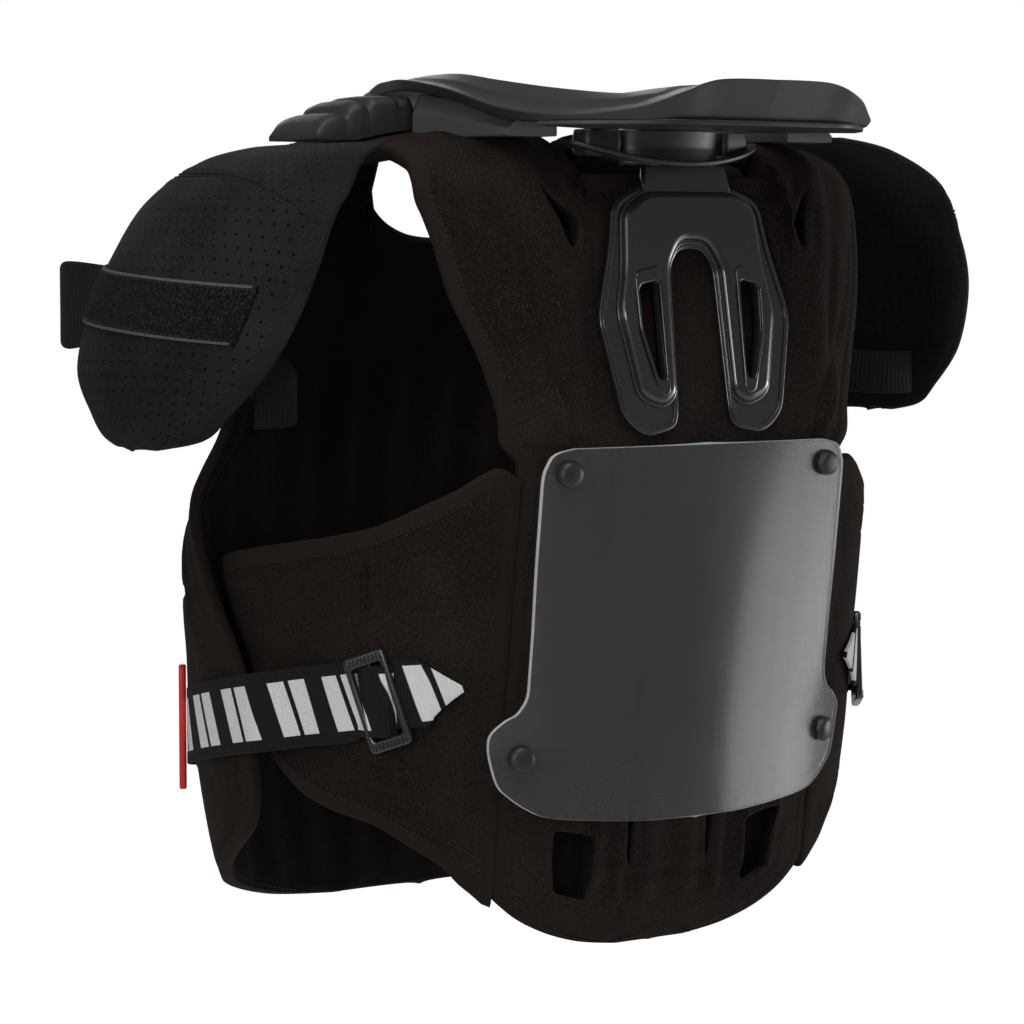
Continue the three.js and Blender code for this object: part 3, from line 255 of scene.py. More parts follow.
@dataclass
class Wall:
    """A closed padded wall between two grids of points, with a rounded edge round it."""

    outer: np.ndarray
    inner: np.ndarray
    bulge: float = 2.0
    steps: int = 6

    def parts(self) -> tuple[np.ndarray, list, np.ndarray]:
        """Points, faces and the place of each point.

        The edge is a half round: at an angle a it lies at the middle of the two edges, plus half of their
        difference times cos(a), plus the bulge times sin(a) away from the panel.

        Returns:
            Points, faces, and for each point its run along a row, its run down a column and its inset.
        """
        rows, columns = self.outer.shape[:2]
        numbers = np.arange(rows * columns).reshape(rows, columns)
        inward = np.zeros((rows, columns, 2), dtype=int)
        inward[0, :, 0], inward[-1, :, 0], inward[:, 0, 1], inward[:, -1, 1] = 1, -1, 1, -1
        loop = np.concatenate([numbers[0], numbers[1:, -1], numbers[-1, -2::-1], numbers[-2:0:-1, 0]])
        i, j = np.divmod(loop, columns)
        outer, inner = self.outer[i, j], self.inner[i, j]
        away = unit(outer - self.outer[i + inward[i, j, 0], j + inward[i, j, 1]])
        angle = np.pi * np.arange(1, self.steps) / self.steps
        half = (outer - inner) / 2
        rim = (outer + inner) / 2 + half * np.cos(angle)[:, None, None] + self.bulge * away * np.sin(
            angle)[:, None, None
        ]
        count = rows * columns
        points = np.concatenate([self.outer.reshape(-1, 3), self.inner.reshape(-1, 3), rim.reshape(-1, 3)])
        between = 2 * count + np.arange((self.steps - 1) * len(loop)).reshape(-1, len(loop))
        rings = np.concatenate([loop[None], between, count + loop[None]])
        step = grid_faces(len(rings), len(loop), ring=True)
        faces = np.concatenate([grid_faces(rows, columns), grid_faces(rows, columns, count), rings.ravel()[step]])
        left, _, top, _ = edge_distances(self.outer)
        inset = edge_inset(self.outer)
        flat = np.stack([left, top, inset], axis=-1).reshape(-1, 3)
        edge = np.tile(flat[loop] * [1, 1, 0], (self.steps - 1, 1))
        return points, faces.tolist(), np.concatenate([flat, flat, edge])

    def turned(self, side: Side) -> "Wall":
        """The wall made for the right side, on a side."""
        return Wall(side.turn(self.outer), side.turn(self.inner), self.bulge)

    def piece(
        self, name: str, finish: "Finish", inside: Optional["Finish"] = None, rim: Optional["Finish"] = None
    ) -> bpy.types.Object:
        """The wall as an object.

        Args:
            name: the piece's name.
            finish: finish of the outer face.
            inside: finish of the inner face, or None for the same.
            rim: finish of the edge, or None for the same.

        Returns:
            The object.
        """
        points, faces, place = self.parts()
        sheet = (self.outer.shape[0] - 1) * (self.outer.shape[1] - 1)
        which = np.repeat([0, 1, 2], [sheet, sheet, len(faces) - 2 * sheet])
        return make_piece(name, points, faces, [finish, inside or finish, rim or finish], which, place)


def loft(sections: np.ndarray, closed: bool = False) -> tuple[np.ndarray, list]:
    """A body through sections, with flat ends if it is open.

    Args:
        sections: array of sections, their points and their coordinates.
        closed: whether the last section joins the first.

    Returns:
        Points and faces.
    """
    count, size = sections.shape[:2]
    numbers = np.arange(count * size).reshape(count, size)
    rings = np.concatenate([numbers, numbers[:1]]) if closed else numbers
    faces = rings.ravel()[grid_faces(len(rings), size, ring=True)].tolist()
    if not closed:
        faces += [numbers[0].tolist(), numbers[-1].tolist()]
    return sections.reshape(-1, 3), faces


def rounded(corners: np.ndarray, radius: float, steps: int = 3) -> np.ndarray:
    """Closed outlines with their corners rounded.

    Each corner becomes a short parabola from the point one radius before it to the point one radius after it,
    or less where a side is short.

    Args:
        corners: array whose last two axes are the corners and their coordinates.
        radius: how far from the corner the rounding starts.
        steps: points for each corner, less one.

    Returns:
        The same array with more points along its last but one axis.
    """
    before, after = np.roll(corners, 1, axis=-2) - corners, np.roll(corners, -1, axis=-2) - corners

    def end(edge: np.ndarray) -> np.ndarray:
        """Points toward a neighbour: one radius along each edge, or less where the edge is short."""
        length = np.linalg.norm(edge, axis=-1, keepdims=True) + 1e-9
        return corners + edge / length * np.minimum(radius, 0.45 * length)

    t = np.linspace(0, 1, steps + 1)[:, None]
    start, stop, middle = (part[..., None, :] for part in (end(before), end(after), corners))
    curve = (1 - t) ** 2 * start + 2 * t * (1 - t) * middle + t**2 * stop
    return curve.reshape(*corners.shape[:-2], -1, corners.shape[-1])


def cut_sheet(outlines: Sequence[np.ndarray], thickness: float, bevel: float) -> tuple[np.ndarray, list]:
    """Points and faces of a flat sheet cut to outlines, the first its rim and the rest its holes.

    Args:
        outlines: closed outlines in the sheet's plane.
        thickness: the sheet's thickness.
        bevel: radius of its rounded rims.

    Returns:
        Points with the sheet's back at zero on the third axis, and faces.
    """
    curve = bpy.data.curves.new("cut", "CURVE")
    curve.dimensions, curve.fill_mode = "2D", "BOTH"
    curve.extrude, curve.bevel_depth, curve.offset, curve.bevel_resolution = thickness / 2 - bevel, bevel, -bevel, 3
    for outline in outlines:
        spline = curve.splines.new("POLY")
        spline.points.add(len(outline) - 1)
        spline.points.foreach_set("co", np.pad(outline, ((0, 0), (0, 2))).ravel())
        spline.use_cyclic_u = True
    holder = bpy.data.objects.new("cut", curve)
    bpy.context.scene.collection.objects.link(holder)
    mesh = bpy.data.meshes.new_from_object(holder.evaluated_get(bpy.context.evaluated_depsgraph_get()))
    points = np.empty(len(mesh.vertices) * 3)
    mesh.vertices.foreach_get("co", points)
    faces = [list(face.vertices) for face in mesh.polygons]
    bpy.data.objects.remove(holder)
    bpy.data.meshes.remove(mesh)
    return points.reshape(-1, 3) + [0, 0, thickness / 2], faces


def shifted(outline: np.ndarray, by: float) -> np.ndarray:
    """Moves a closed outline inwards along its own normals.

    Args:
        outline: corners in a plane.
        by: how far inwards, or outwards where it is negative.

    Returns:
        The moved outline.
    """
    run = unit(np.roll(outline, -1, axis=0) - np.roll(outline, 1, axis=0))
    normal = np.stack([-run[:, 1], run[:, 0]], axis=-1)
    x, y = outline.T
    turn = np.sign((x * np.roll(y, -1) - y * np.roll(x, -1)).sum())
    return outline + normal * by * turn


def join_parts(parts: Sequence[tuple[np.ndarray, list]]) -> tuple[np.ndarray, list]:
    """Joins several sets of points and faces.

    Args:
        parts: points and faces of each.

    Returns:
        Points and faces as one set.
    """
    points, faces, start = [], [], 0
    for some, few in parts:
        points.append(some)
        faces += [[number + start for number in face] for face in few]
        start += len(some)
    return np.concatenate(points), faces


def corner_rows(*corners: Sequence[np.ndarray]) -> np.ndarray:
    """Sections of a body from its corners, each given by its x, y and z along the body."""
    return np.stack([np.stack(corner, axis=-1) for corner in corners], axis=1)


def rectangle(width: float, height: float) -> np.ndarray:
    """Corners of a rectangle about the origin."""
    return np.array([[-width, -height], [width, -height], [width, height], [-width, height]]) / 2


def run_along(path: np.ndarray) -> np.ndarray:
    """Distance along a path at each of its points."""
    return np.concatenate([[0], np.cumsum(np.linalg.norm(np.diff(path, axis=0), axis=1))])


def read_along(run: np.ndarray, values: np.ndarray, where: np.ndarray) -> np.ndarray:
    """Points or directions stored along a path, read at distances along it."""
    return np.stack([np.interp(where, run, column) for column in values.T], axis=-1)


def opaque(colour: Sequence[float], by: float = 1.0) -> tuple[float, float, float, float]:
    """A colour made brighter or darker, with full alpha."""
    return (*(part * by for part in colour), 1)


class Recipe:
    """Adds nodes to a material and links them."""

    def __init__(self, name: str) -> None:
        """Starts an empty material with a surface shader.

        Args:
            name: the material's name.
        """
        self.material = bpy.data.materials.new(name)
        self.material.use_nodes = True
        self.tree = self.material.node_tree
        self.shader = self.tree.nodes["Principled BSDF"]

    def add(self, kind: str, values: Optional[dict] = None, **settings: object) -> bpy.types.Node:
        """Adds a node.

        Args:
            kind: the node's type without its prefix.
            values: sockets by name or number, each a value or another node's output.
            settings: the node's own options.

        Returns:
            The node.
        """
        node = self.tree.nodes.new(f"ShaderNode{kind}")
        for option, setting in settings.items():
            setattr(node, option, setting)
        self.set(node, values or {})
        return node

    def set(self, node: bpy.types.Node, values: dict) -> None:
        """Sets or links a node's inputs.

        Args:
            node: the node.
            values: for each input, by name or number, a value or another node's output.
        """
        for key, value in values.items():
            if isinstance(value, bpy.types.NodeSocket):
                self.tree.links.new(value, node.inputs[key])
            else:
                node.inputs[key].default_value = value

    def math(self, kind: str, *values: object) -> bpy.types.NodeSocket:
        """The output of a sum on one to three values."""
        return self.add("Math", dict(enumerate(values)), operation=kind).outputs[0]

    def noise(self, scale: float, detail: float = 3.0) -> bpy.types.NodeSocket:
        """Soft noise of a scale, on the object's own coordinates."""
        where = self.add("TexCoord").outputs["Object"]
        return self.add("TexNoise", {"Vector": where, "Scale": scale, "Detail": detail}).outputs["Fac"]

    def place(self) -> tuple[bpy.types.NodeSocket, ...]:
        """The three values stored on the piece's points."""
        where = self.add("Attribute", attribute_name="place").outputs["Vector"]
        return tuple(self.add("SeparateXYZ", {0: where}).outputs)

    def band(self, value: object, low: float, high: float) -> bpy.types.NodeSocket:
        """Rises smoothly from 0 at low to 1 at high."""
        values = {"Value": value, "From Min": low, "From Max": high}
        return self.add("MapRange", values, interpolation_type="SMOOTHSTEP").outputs[0]

    def mix(self, share: object, first: object, second: object) -> bpy.types.NodeSocket:
        """Mixes two colours.

        Args:
            share: share of the second colour.
            first: the colour at a share of 0.
            second: the colour at a share of 1.

        Returns:
            The mixed colour.
        """
        node = self.add("Mix", data_type="RGBA")
        self.set(node, {0: share, 6: first, 7: second})
        return node.outputs[2]

    def speckles(self, scale: float, threshold: float) -> bpy.types.Node:
        """Flecks and nap on the object's own coordinates.

        Args:
            scale: how fine the flecks are.
            threshold: the noise above which a fleck shows.

        Returns:
            The node with outputs Fleck and Nap.
        """
        where = self.add("TexCoord").outputs["Object"]
        grain = self.add("Group", node_tree=speckle_group())
        self.set(grain, {"Vector": where, "Scale": scale, "Threshold": threshold})
        return grain

    def bump(self, height: object, distance: float, strength: float = 1.0) -> None:
        """Raises the surface on top of what is raised already.

        Args:
            height: height as a share of the distance.
            distance: the distance in metres.
            strength: how far the normals turn.
        """
        values = {"Height": height, "Distance": distance, "Strength": strength}
        before = self.shader.inputs["Normal"].links
        if before:
            values["Normal"] = before[0].from_socket
        self.set(self.shader, {"Normal": self.add("Bump", values).outputs[0]})


def speckle_group() -> bpy.types.NodeTree:
    """The shared group that turns two scales of noise into pale flecks and a nap.

    Returns:
        The group, with inputs Vector, Scale and Threshold and outputs Fleck and Nap.
    """
    found = bpy.data.node_groups.get("fleck_and_nap")
    if found:
        return found
    group = bpy.data.node_groups.new("fleck_and_nap", "ShaderNodeTree")
    for name, kind in (
        ("Vector", "NodeSocketVector"), ("Scale", "NodeSocketFloat"), ("Threshold", "NodeSocketFloat")
    ):
        group.interface.new_socket(name, in_out="INPUT", socket_type=kind)
    for name in ("Fleck", "Nap"):
        group.interface.new_socket(name, in_out="OUTPUT", socket_type="NodeSocketFloat")
    start, end = group.nodes.new("NodeGroupInput"), group.nodes.new("NodeGroupOutput")
    fine, nap = group.nodes.new("ShaderNodeTexNoise"), group.nodes.new("ShaderNodeTexNoise")
    fine.inputs["Detail"].default_value, nap.inputs["Detail"].default_value = 1.0, 4.0
    fleck, third = group.nodes.new("ShaderNodeMapRange"), group.nodes.new("ShaderNodeMath")
    third.operation = "MULTIPLY"
    third.inputs[1].default_value = 0.4
    top = group.nodes.new("ShaderNodeMath")
    top.inputs[1].default_value = 0.12
    links = (
        (start.outputs["Vector"], fine.inputs["Vector"]), (start.outputs["Scale"], fine.inputs["Scale"]),
        (start.outputs["Vector"], nap.inputs["Vector"]), (start.outputs["Scale"], third.inputs[0]),
        (third.outputs[0], nap.inputs["Scale"]), (fine.outputs["Fac"], fleck.inputs["Value"]),
        (start.outputs["Threshold"], fleck.inputs["From Min"]), (start.outputs["Threshold"], top.inputs[0]),
        (top.outputs[0], fleck.inputs["From Max"]), (fleck.outputs[0], end.inputs["Fleck"]),
        (nap.outputs["Fac"], end.inputs["Nap"]),
    )
    for one, other in links:
        group.links.new(one, other)
    return group


@dataclass(frozen=True)
class Finish:
    """A finish with a plain name; its material is made once."""

    name: str

    def material(self) -> bpy.types.Material:
        """Makes the finish's material, or finds it where it is made already.

        Returns:
            The material.
        """
        found = bpy.data.materials.get(self.name)
        if found:
            return found
        recipe = Recipe(self.name)
        self.paint(recipe)
        return recipe.material

    def paint(self, recipe: Recipe) -> None:
        """Adds the finish's nodes."""


@dataclass(frozen=True)
class Cloth(Finish):
    """Brushed cloth over foam, with pale flecks, and a smoother binding along its edges."""

    base: tuple[float, float, float] = (0.0098, 0.0071, 0.0061)
    fleck: tuple[float, float, float] = (0.052, 0.037, 0.031)
    binding: float = 7.0
    holes: float = 0.0

    def paint(self, recipe: Recipe) -> None:
        """Flecks and nap over slow changes of colour, then the binding, then the pierced holes, whose insides are
        painted near-black as shade.

        Args:
            recipe: the material that the nodes go into.
        """
        grain = recipe.speckles(1300.0, 0.55)
        slow = recipe.noise(14.0, 2.0)
        pale = opaque(self.base, 1.9)
        colour = recipe.mix(recipe.band(slow, 0.35, 0.7), opaque(self.base), pale)
        colour = recipe.mix(recipe.math("MULTIPLY", grain.outputs["Fleck"], 0.5), colour, opaque(self.fleck))
        run, down, inset = recipe.place()
        if self.binding:
            bound = recipe.band(inset, self.binding + 0.5, self.binding - 0.3)
            colour = recipe.mix(recipe.math("MULTIPLY", bound, 0.85), colour, pale)
        recipe.bump(grain.outputs["Nap"], 0.0011, 0.75)
        if self.holes:
            row_pitch = self.holes * 0.87
            row = recipe.math("FLOOR", recipe.math("DIVIDE", down, row_pitch))
            shift = recipe.math("MULTIPLY", recipe.math("MODULO", row, 2.0), 0.5)
            across = recipe.math("ADD", recipe.math("DIVIDE", run, self.holes), shift)
            across = recipe.math("SUBTRACT", recipe.math("FRACT", across), 0.5)
            along = recipe.math("SUBTRACT", recipe.math("FRACT", recipe.math("DIVIDE", down, row_pitch)), 0.5)
            squares = recipe.math("POWER", across, 2.0), recipe.math("POWER", along, 2.0)
            away = recipe.math("SQRT", recipe.math("ADD", *squares))
            hole = recipe.math("MULTIPLY", recipe.band(away, 0.12, 0.075), recipe.band(inset, 8.0, 10.0))
            # The holes are real; their near-black colour is painted shade inside them.
            colour = recipe.mix(hole, colour, (0.001, 0.001, 0.001, 1))
            recipe.bump(recipe.math("MULTIPLY", hole, -1.0), 0.0012)
        recipe.set(recipe.shader, {
            "Base Color": colour, "Roughness": 0.95, "Sheen Weight": 0.015, "Sheen Roughness": 0.4,
            "Sheen Tint": (1.0, 0.9, 0.82, 1), "Specular IOR Level": 0.08,
        })


@dataclass(frozen=True)
class Moulded(Finish):
    """Moulded plastic or rubber, with a fine grain and uneven gloss."""

    base: tuple[float, float, float] = (0.012, 0.014, 0.015)
    rough: float = 0.4
    grain: float = 0.00005
    coat: float = 0.0

    def paint(self, recipe: Recipe) -> None:
        """Slow changes of colour and gloss, a fine grain, and rubbed spots.

        Args:
            recipe: the material that the nodes go into.
        """
        slow = recipe.noise(22.0, 4.0)
        rub = recipe.band(recipe.noise(160.0, 6.0), 0.6, 0.75)
        colour = recipe.mix(recipe.math("MULTIPLY", slow, 0.5), opaque(self.base), opaque(self.base, 1.7))
        colour = recipe.mix(recipe.math("MULTIPLY", rub, 0.18), colour, (0.06, 0.06, 0.06, 1))
        gloss = recipe.math("MULTIPLY_ADD", slow, 0.14, self.rough - 0.07)
        recipe.set(recipe.shader, {
            "Base Color": colour, "Roughness": gloss, "Coat Weight": self.coat, "Coat Roughness": 0.08,
        })
        recipe.bump(recipe.noise(2600.0, 2.0), self.grain, 0.8)


@dataclass(frozen=True)
class ClearSheet(Finish):
    """Clear bent sheet with a little haze."""

    def paint(self, recipe: Recipe) -> None:
        """Clear plastic whose gloss is blurred in streaks.

        Args:
            recipe: the material that the nodes go into.
        """
        haze = recipe.noise(9.0, 3.0)
        recipe.set(recipe.shader, {
            "Base Color": (0.93, 0.94, 0.94, 1), "Roughness": recipe.math("MULTIPLY_ADD", haze, 0.14, 0.1),
            "Transmission Weight": 0.985, "IOR": 1.49,
        })


@dataclass(frozen=True)
class PaintedHighlightEdge(Finish):
    """The clear sheet's edge, painted pale as the highlight that it catches."""

    def paint(self, recipe: Recipe) -> None:
        """Pale matt plastic, faintly uneven, as a painted highlight.

        Args:
            recipe: the material that the nodes go into.
        """
        # Painted highlight: the rim is painted pale, as the light that the sheet's edge catches.
        shade = recipe.mix(recipe.noise(300.0, 2.0), (0.3, 0.31, 0.31, 1), (0.5, 0.51, 0.51, 1))
        recipe.set(recipe.shader, {"Base Color": shade, "Roughness": 0.45})


@dataclass(frozen=True)
class Webbing(Finish):
    """Woven strap whose weave follows its run and breadth, with plain printed bars where wanted."""

    base: tuple[float, float, float] = (0.0055, 0.0055, 0.0065)
    rib: float = 1.6
    printed: bool = False
    half_breadth: float = 20.5

    def paint(self, recipe: Recipe) -> None:
        """Ribs across the strap, finer threads along it, and slanted pale bars.

        Args:
            recipe: the material that the nodes go into.
        """
        run, breadth, _ = recipe.place()
        ribs = recipe.math("SINE", recipe.math("MULTIPLY", run, 2 * math.pi / self.rib))
        threads = recipe.math("SINE", recipe.math("MULTIPLY", breadth, 2 * math.pi / 0.9))
        weave = recipe.math("ADD", ribs, recipe.math("MULTIPLY", threads, 0.6))
        shade = recipe.band(weave, -1.6, 1.6)
        colour = recipe.mix(shade, opaque(self.base, 0.55), opaque(self.base, 1.6))
        if self.printed:
            slant = recipe.math("MULTIPLY_ADD", breadth, 0.28, run)
            part = recipe.math("FRACT", recipe.math("DIVIDE", slant, 40.0))
            bars = recipe.math("MULTIPLY", recipe.band(part, 0.2, 0.215), recipe.band(part, 0.86, 0.845))
            notch = recipe.math("MULTIPLY", recipe.band(part, 0.48, 0.495), recipe.band(part, 0.575, 0.56))
            bars = recipe.math("MULTIPLY", bars, recipe.math("SUBTRACT", 1.0, notch))
            ends = self.half_breadth * 0.72, self.half_breadth * 0.7
            bars = recipe.math("MULTIPLY", bars, recipe.band(recipe.math("ABSOLUTE", breadth), *ends))
            worn = recipe.math("MULTIPLY_ADD", shade, 0.12, 0.86)
            colour = recipe.mix(recipe.math("MULTIPLY", bars, worn), colour, (0.72, 0.72, 0.72, 1))
        recipe.set(recipe.shader, {
            "Base Color": colour, "Roughness": 0.8, "Sheen Weight": 0.01, "Specular IOR Level": 0.2,
        })
        recipe.bump(weave, 0.00012, 0.8)


@dataclass(frozen=True)
class LoopPatch(Finish):
    """Fuzzy loop fastener patch with short pale hairs."""

    def paint(self, recipe: Recipe) -> None:
        """Clumps of loops with pale tips, and pale edges.

        Args:
            recipe: the material that the nodes go into.
        """
        grain = recipe.speckles(900.0, 0.5)
        tips = recipe.math("MULTIPLY", grain.outputs["Fleck"], 0.55)
        colour = recipe.mix(tips, (0.005, 0.005, 0.0055, 1), (0.034, 0.034, 0.036, 1))
        run, _, inset = recipe.place()
        selvedge = recipe.math("MULTIPLY", recipe.band(inset, 1.3, 0.8), recipe.band(run, 1.0, 4.0))
        colour = recipe.mix(selvedge, colour, (0.09, 0.085, 0.085, 1))
        recipe.set(recipe.shader, {"Base Color": colour, "Roughness": 0.95, "Specular IOR Level": 0.1})
        recipe.bump(grain.outputs["Nap"], 0.0025, 1.0)


CLOTH = Cloth("brushed_foam_cloth")
CAP_CLOTH = Cloth(
    "pierced_foam_cloth", base=(0.0105, 0.0094, 0.0102), fleck=(0.035, 0.032, 0.035), binding=0.0, holes=8.4
)
BRACE = Moulded("satin_plastic", base=(0.0125, 0.0145, 0.0155), rough=0.42)
PALE_BRACE = Moulded("pale_satin_plastic", base=(0.05, 0.052, 0.054), rough=0.5)
GLOSSY = Moulded("polished_plastic", base=(0.013, 0.0135, 0.014), rough=0.2, grain=0.00002, coat=0.5)
LINK_RUBBER = Moulded("soft_rubber", base=(0.012, 0.012, 0.013), rough=0.5, grain=0.00012)
RED = Moulded("bright_red_plastic", base=(0.55, 0.012, 0.012), rough=0.35)
STUD = Moulded("rivet_plastic", base=(0.011, 0.0115, 0.012), rough=0.42)
CLEAR = ClearSheet("bent_clear_sheet")
PAINTED_HIGHLIGHT_EDGE = PaintedHighlightEdge("painted_highlight_clear_edge")
# Painted shade: the inner faces and the vents' walls are painted about three times darker than the outer cloth, as
# the shade inside the vest.
SHADE_DARK_LINING = Cloth("shade_darkened_lining", base=(0.0035, 0.0028, 0.0025), fleck=(0.012, 0.01, 0.009))
STRAP = Webbing("printed_webbing", printed=True)
ELASTIC = Webbing("elastic_webbing", rib=2.4)
PATCH = LoopPatch("loop_fastener")
THREAD = Moulded("sewing_thread", base=(0.0085, 0.0062, 0.005), rough=0.95)


@dataclass
class Stitching:
    """Short thread stitches along the seams, sewn as one piece at the end."""

    pitch: float = 3.2
    length: float = 2.1
    thickness: float = 0.9
    seams: list[tuple[np.ndarray, np.ndarray]] = field(default_factory=list)

    def sew(self, path: np.ndarray, normal: np.ndarray) -> None:
        """Adds a seam by the points that it follows and the surface's normals there."""
        self.seams.append((path, normal))

    def sew_side(
        self, grid: np.ndarray, normal: np.ndarray, edge: int, rows: slice = slice(8, -8), inset: float = 7.6
    ) -> None:
        """Adds a seam that keeps a distance from one side of a grid.

        Args:
            grid: the surface's points.
            normal: its normals.
            edge: 0 or 1 for the first or last column, 2 or 3 for the first or last row.
            rows: the rows or columns that it runs over.
            inset: the seam's distance from the edge.
        """
        away = edge_distances(grid)[edge]
        if edge >= 2:
            grid, normal, away = grid.swapaxes(0, 1), normal.swapaxes(0, 1), away.T
        order = slice(None, None, -1 if edge % 2 else 1)
        grid, normal, away = grid[rows, order], normal[rows, order], away[rows, order]
        after = np.clip((away < inset).sum(axis=1), 1, away.shape[1] - 1)
        line = np.arange(len(away))
        near, far = away[line, after - 1], away[line, after]
        t = np.clip((inset - near) / (far - near + 1e-9), 0, 1)[:, None]
        self.sew(grid[line, after - 1] * (1 - t) + grid[line, after] * t, normal[line, after])

    def build(self) -> None:
        """Sews all seams.

        A stitch is a round thread: its radius at a share s of its half length, from -1 to 1, is the thread's
        times the square root of 1 - s**4.
        """
        along = np.array([-1.0, -0.75, 0.0, 0.75, 1.0])
        radius = self.thickness / 2 * np.sqrt(np.maximum(1 - along**4, 0.02))
        angle = np.arange(6) * np.pi / 3
        points, faces = [], []
        for path, normal in self.seams:
            run = run_along(path)
            middle = np.arange(self.pitch / 2, run[-1], self.pitch)
            centre, out = read_along(run, path, middle), unit(read_along(run, normal, middle))
            ahead = unit(read_along(run, path, middle + 1) - read_along(run, path, middle - 1))
            across = unit(np.cross(ahead, out))
            ring = across[:, None, None] * np.cos(angle)[:, None] + out[:, None, None] * np.sin(angle)[:, None]
            thread = ahead[:, None, None] * (along * self.length / 2)[:, None, None]
            body = centre[:, None, None] + thread + ring * radius[:, None, None]
            size = len(along) * len(angle)
            first = size * np.arange(len(middle))[:, None, None] + sum(len(part) for part in points)
            points.append(body.reshape(-1, 3))
            faces.append((grid_faces(len(along), len(angle), ring=True)[None] + first).reshape(-1, 4))
        piece = make_piece("seam_stitches", np.concatenate(points), np.concatenate(faces).tolist(), [THREAD])
        settle(piece)


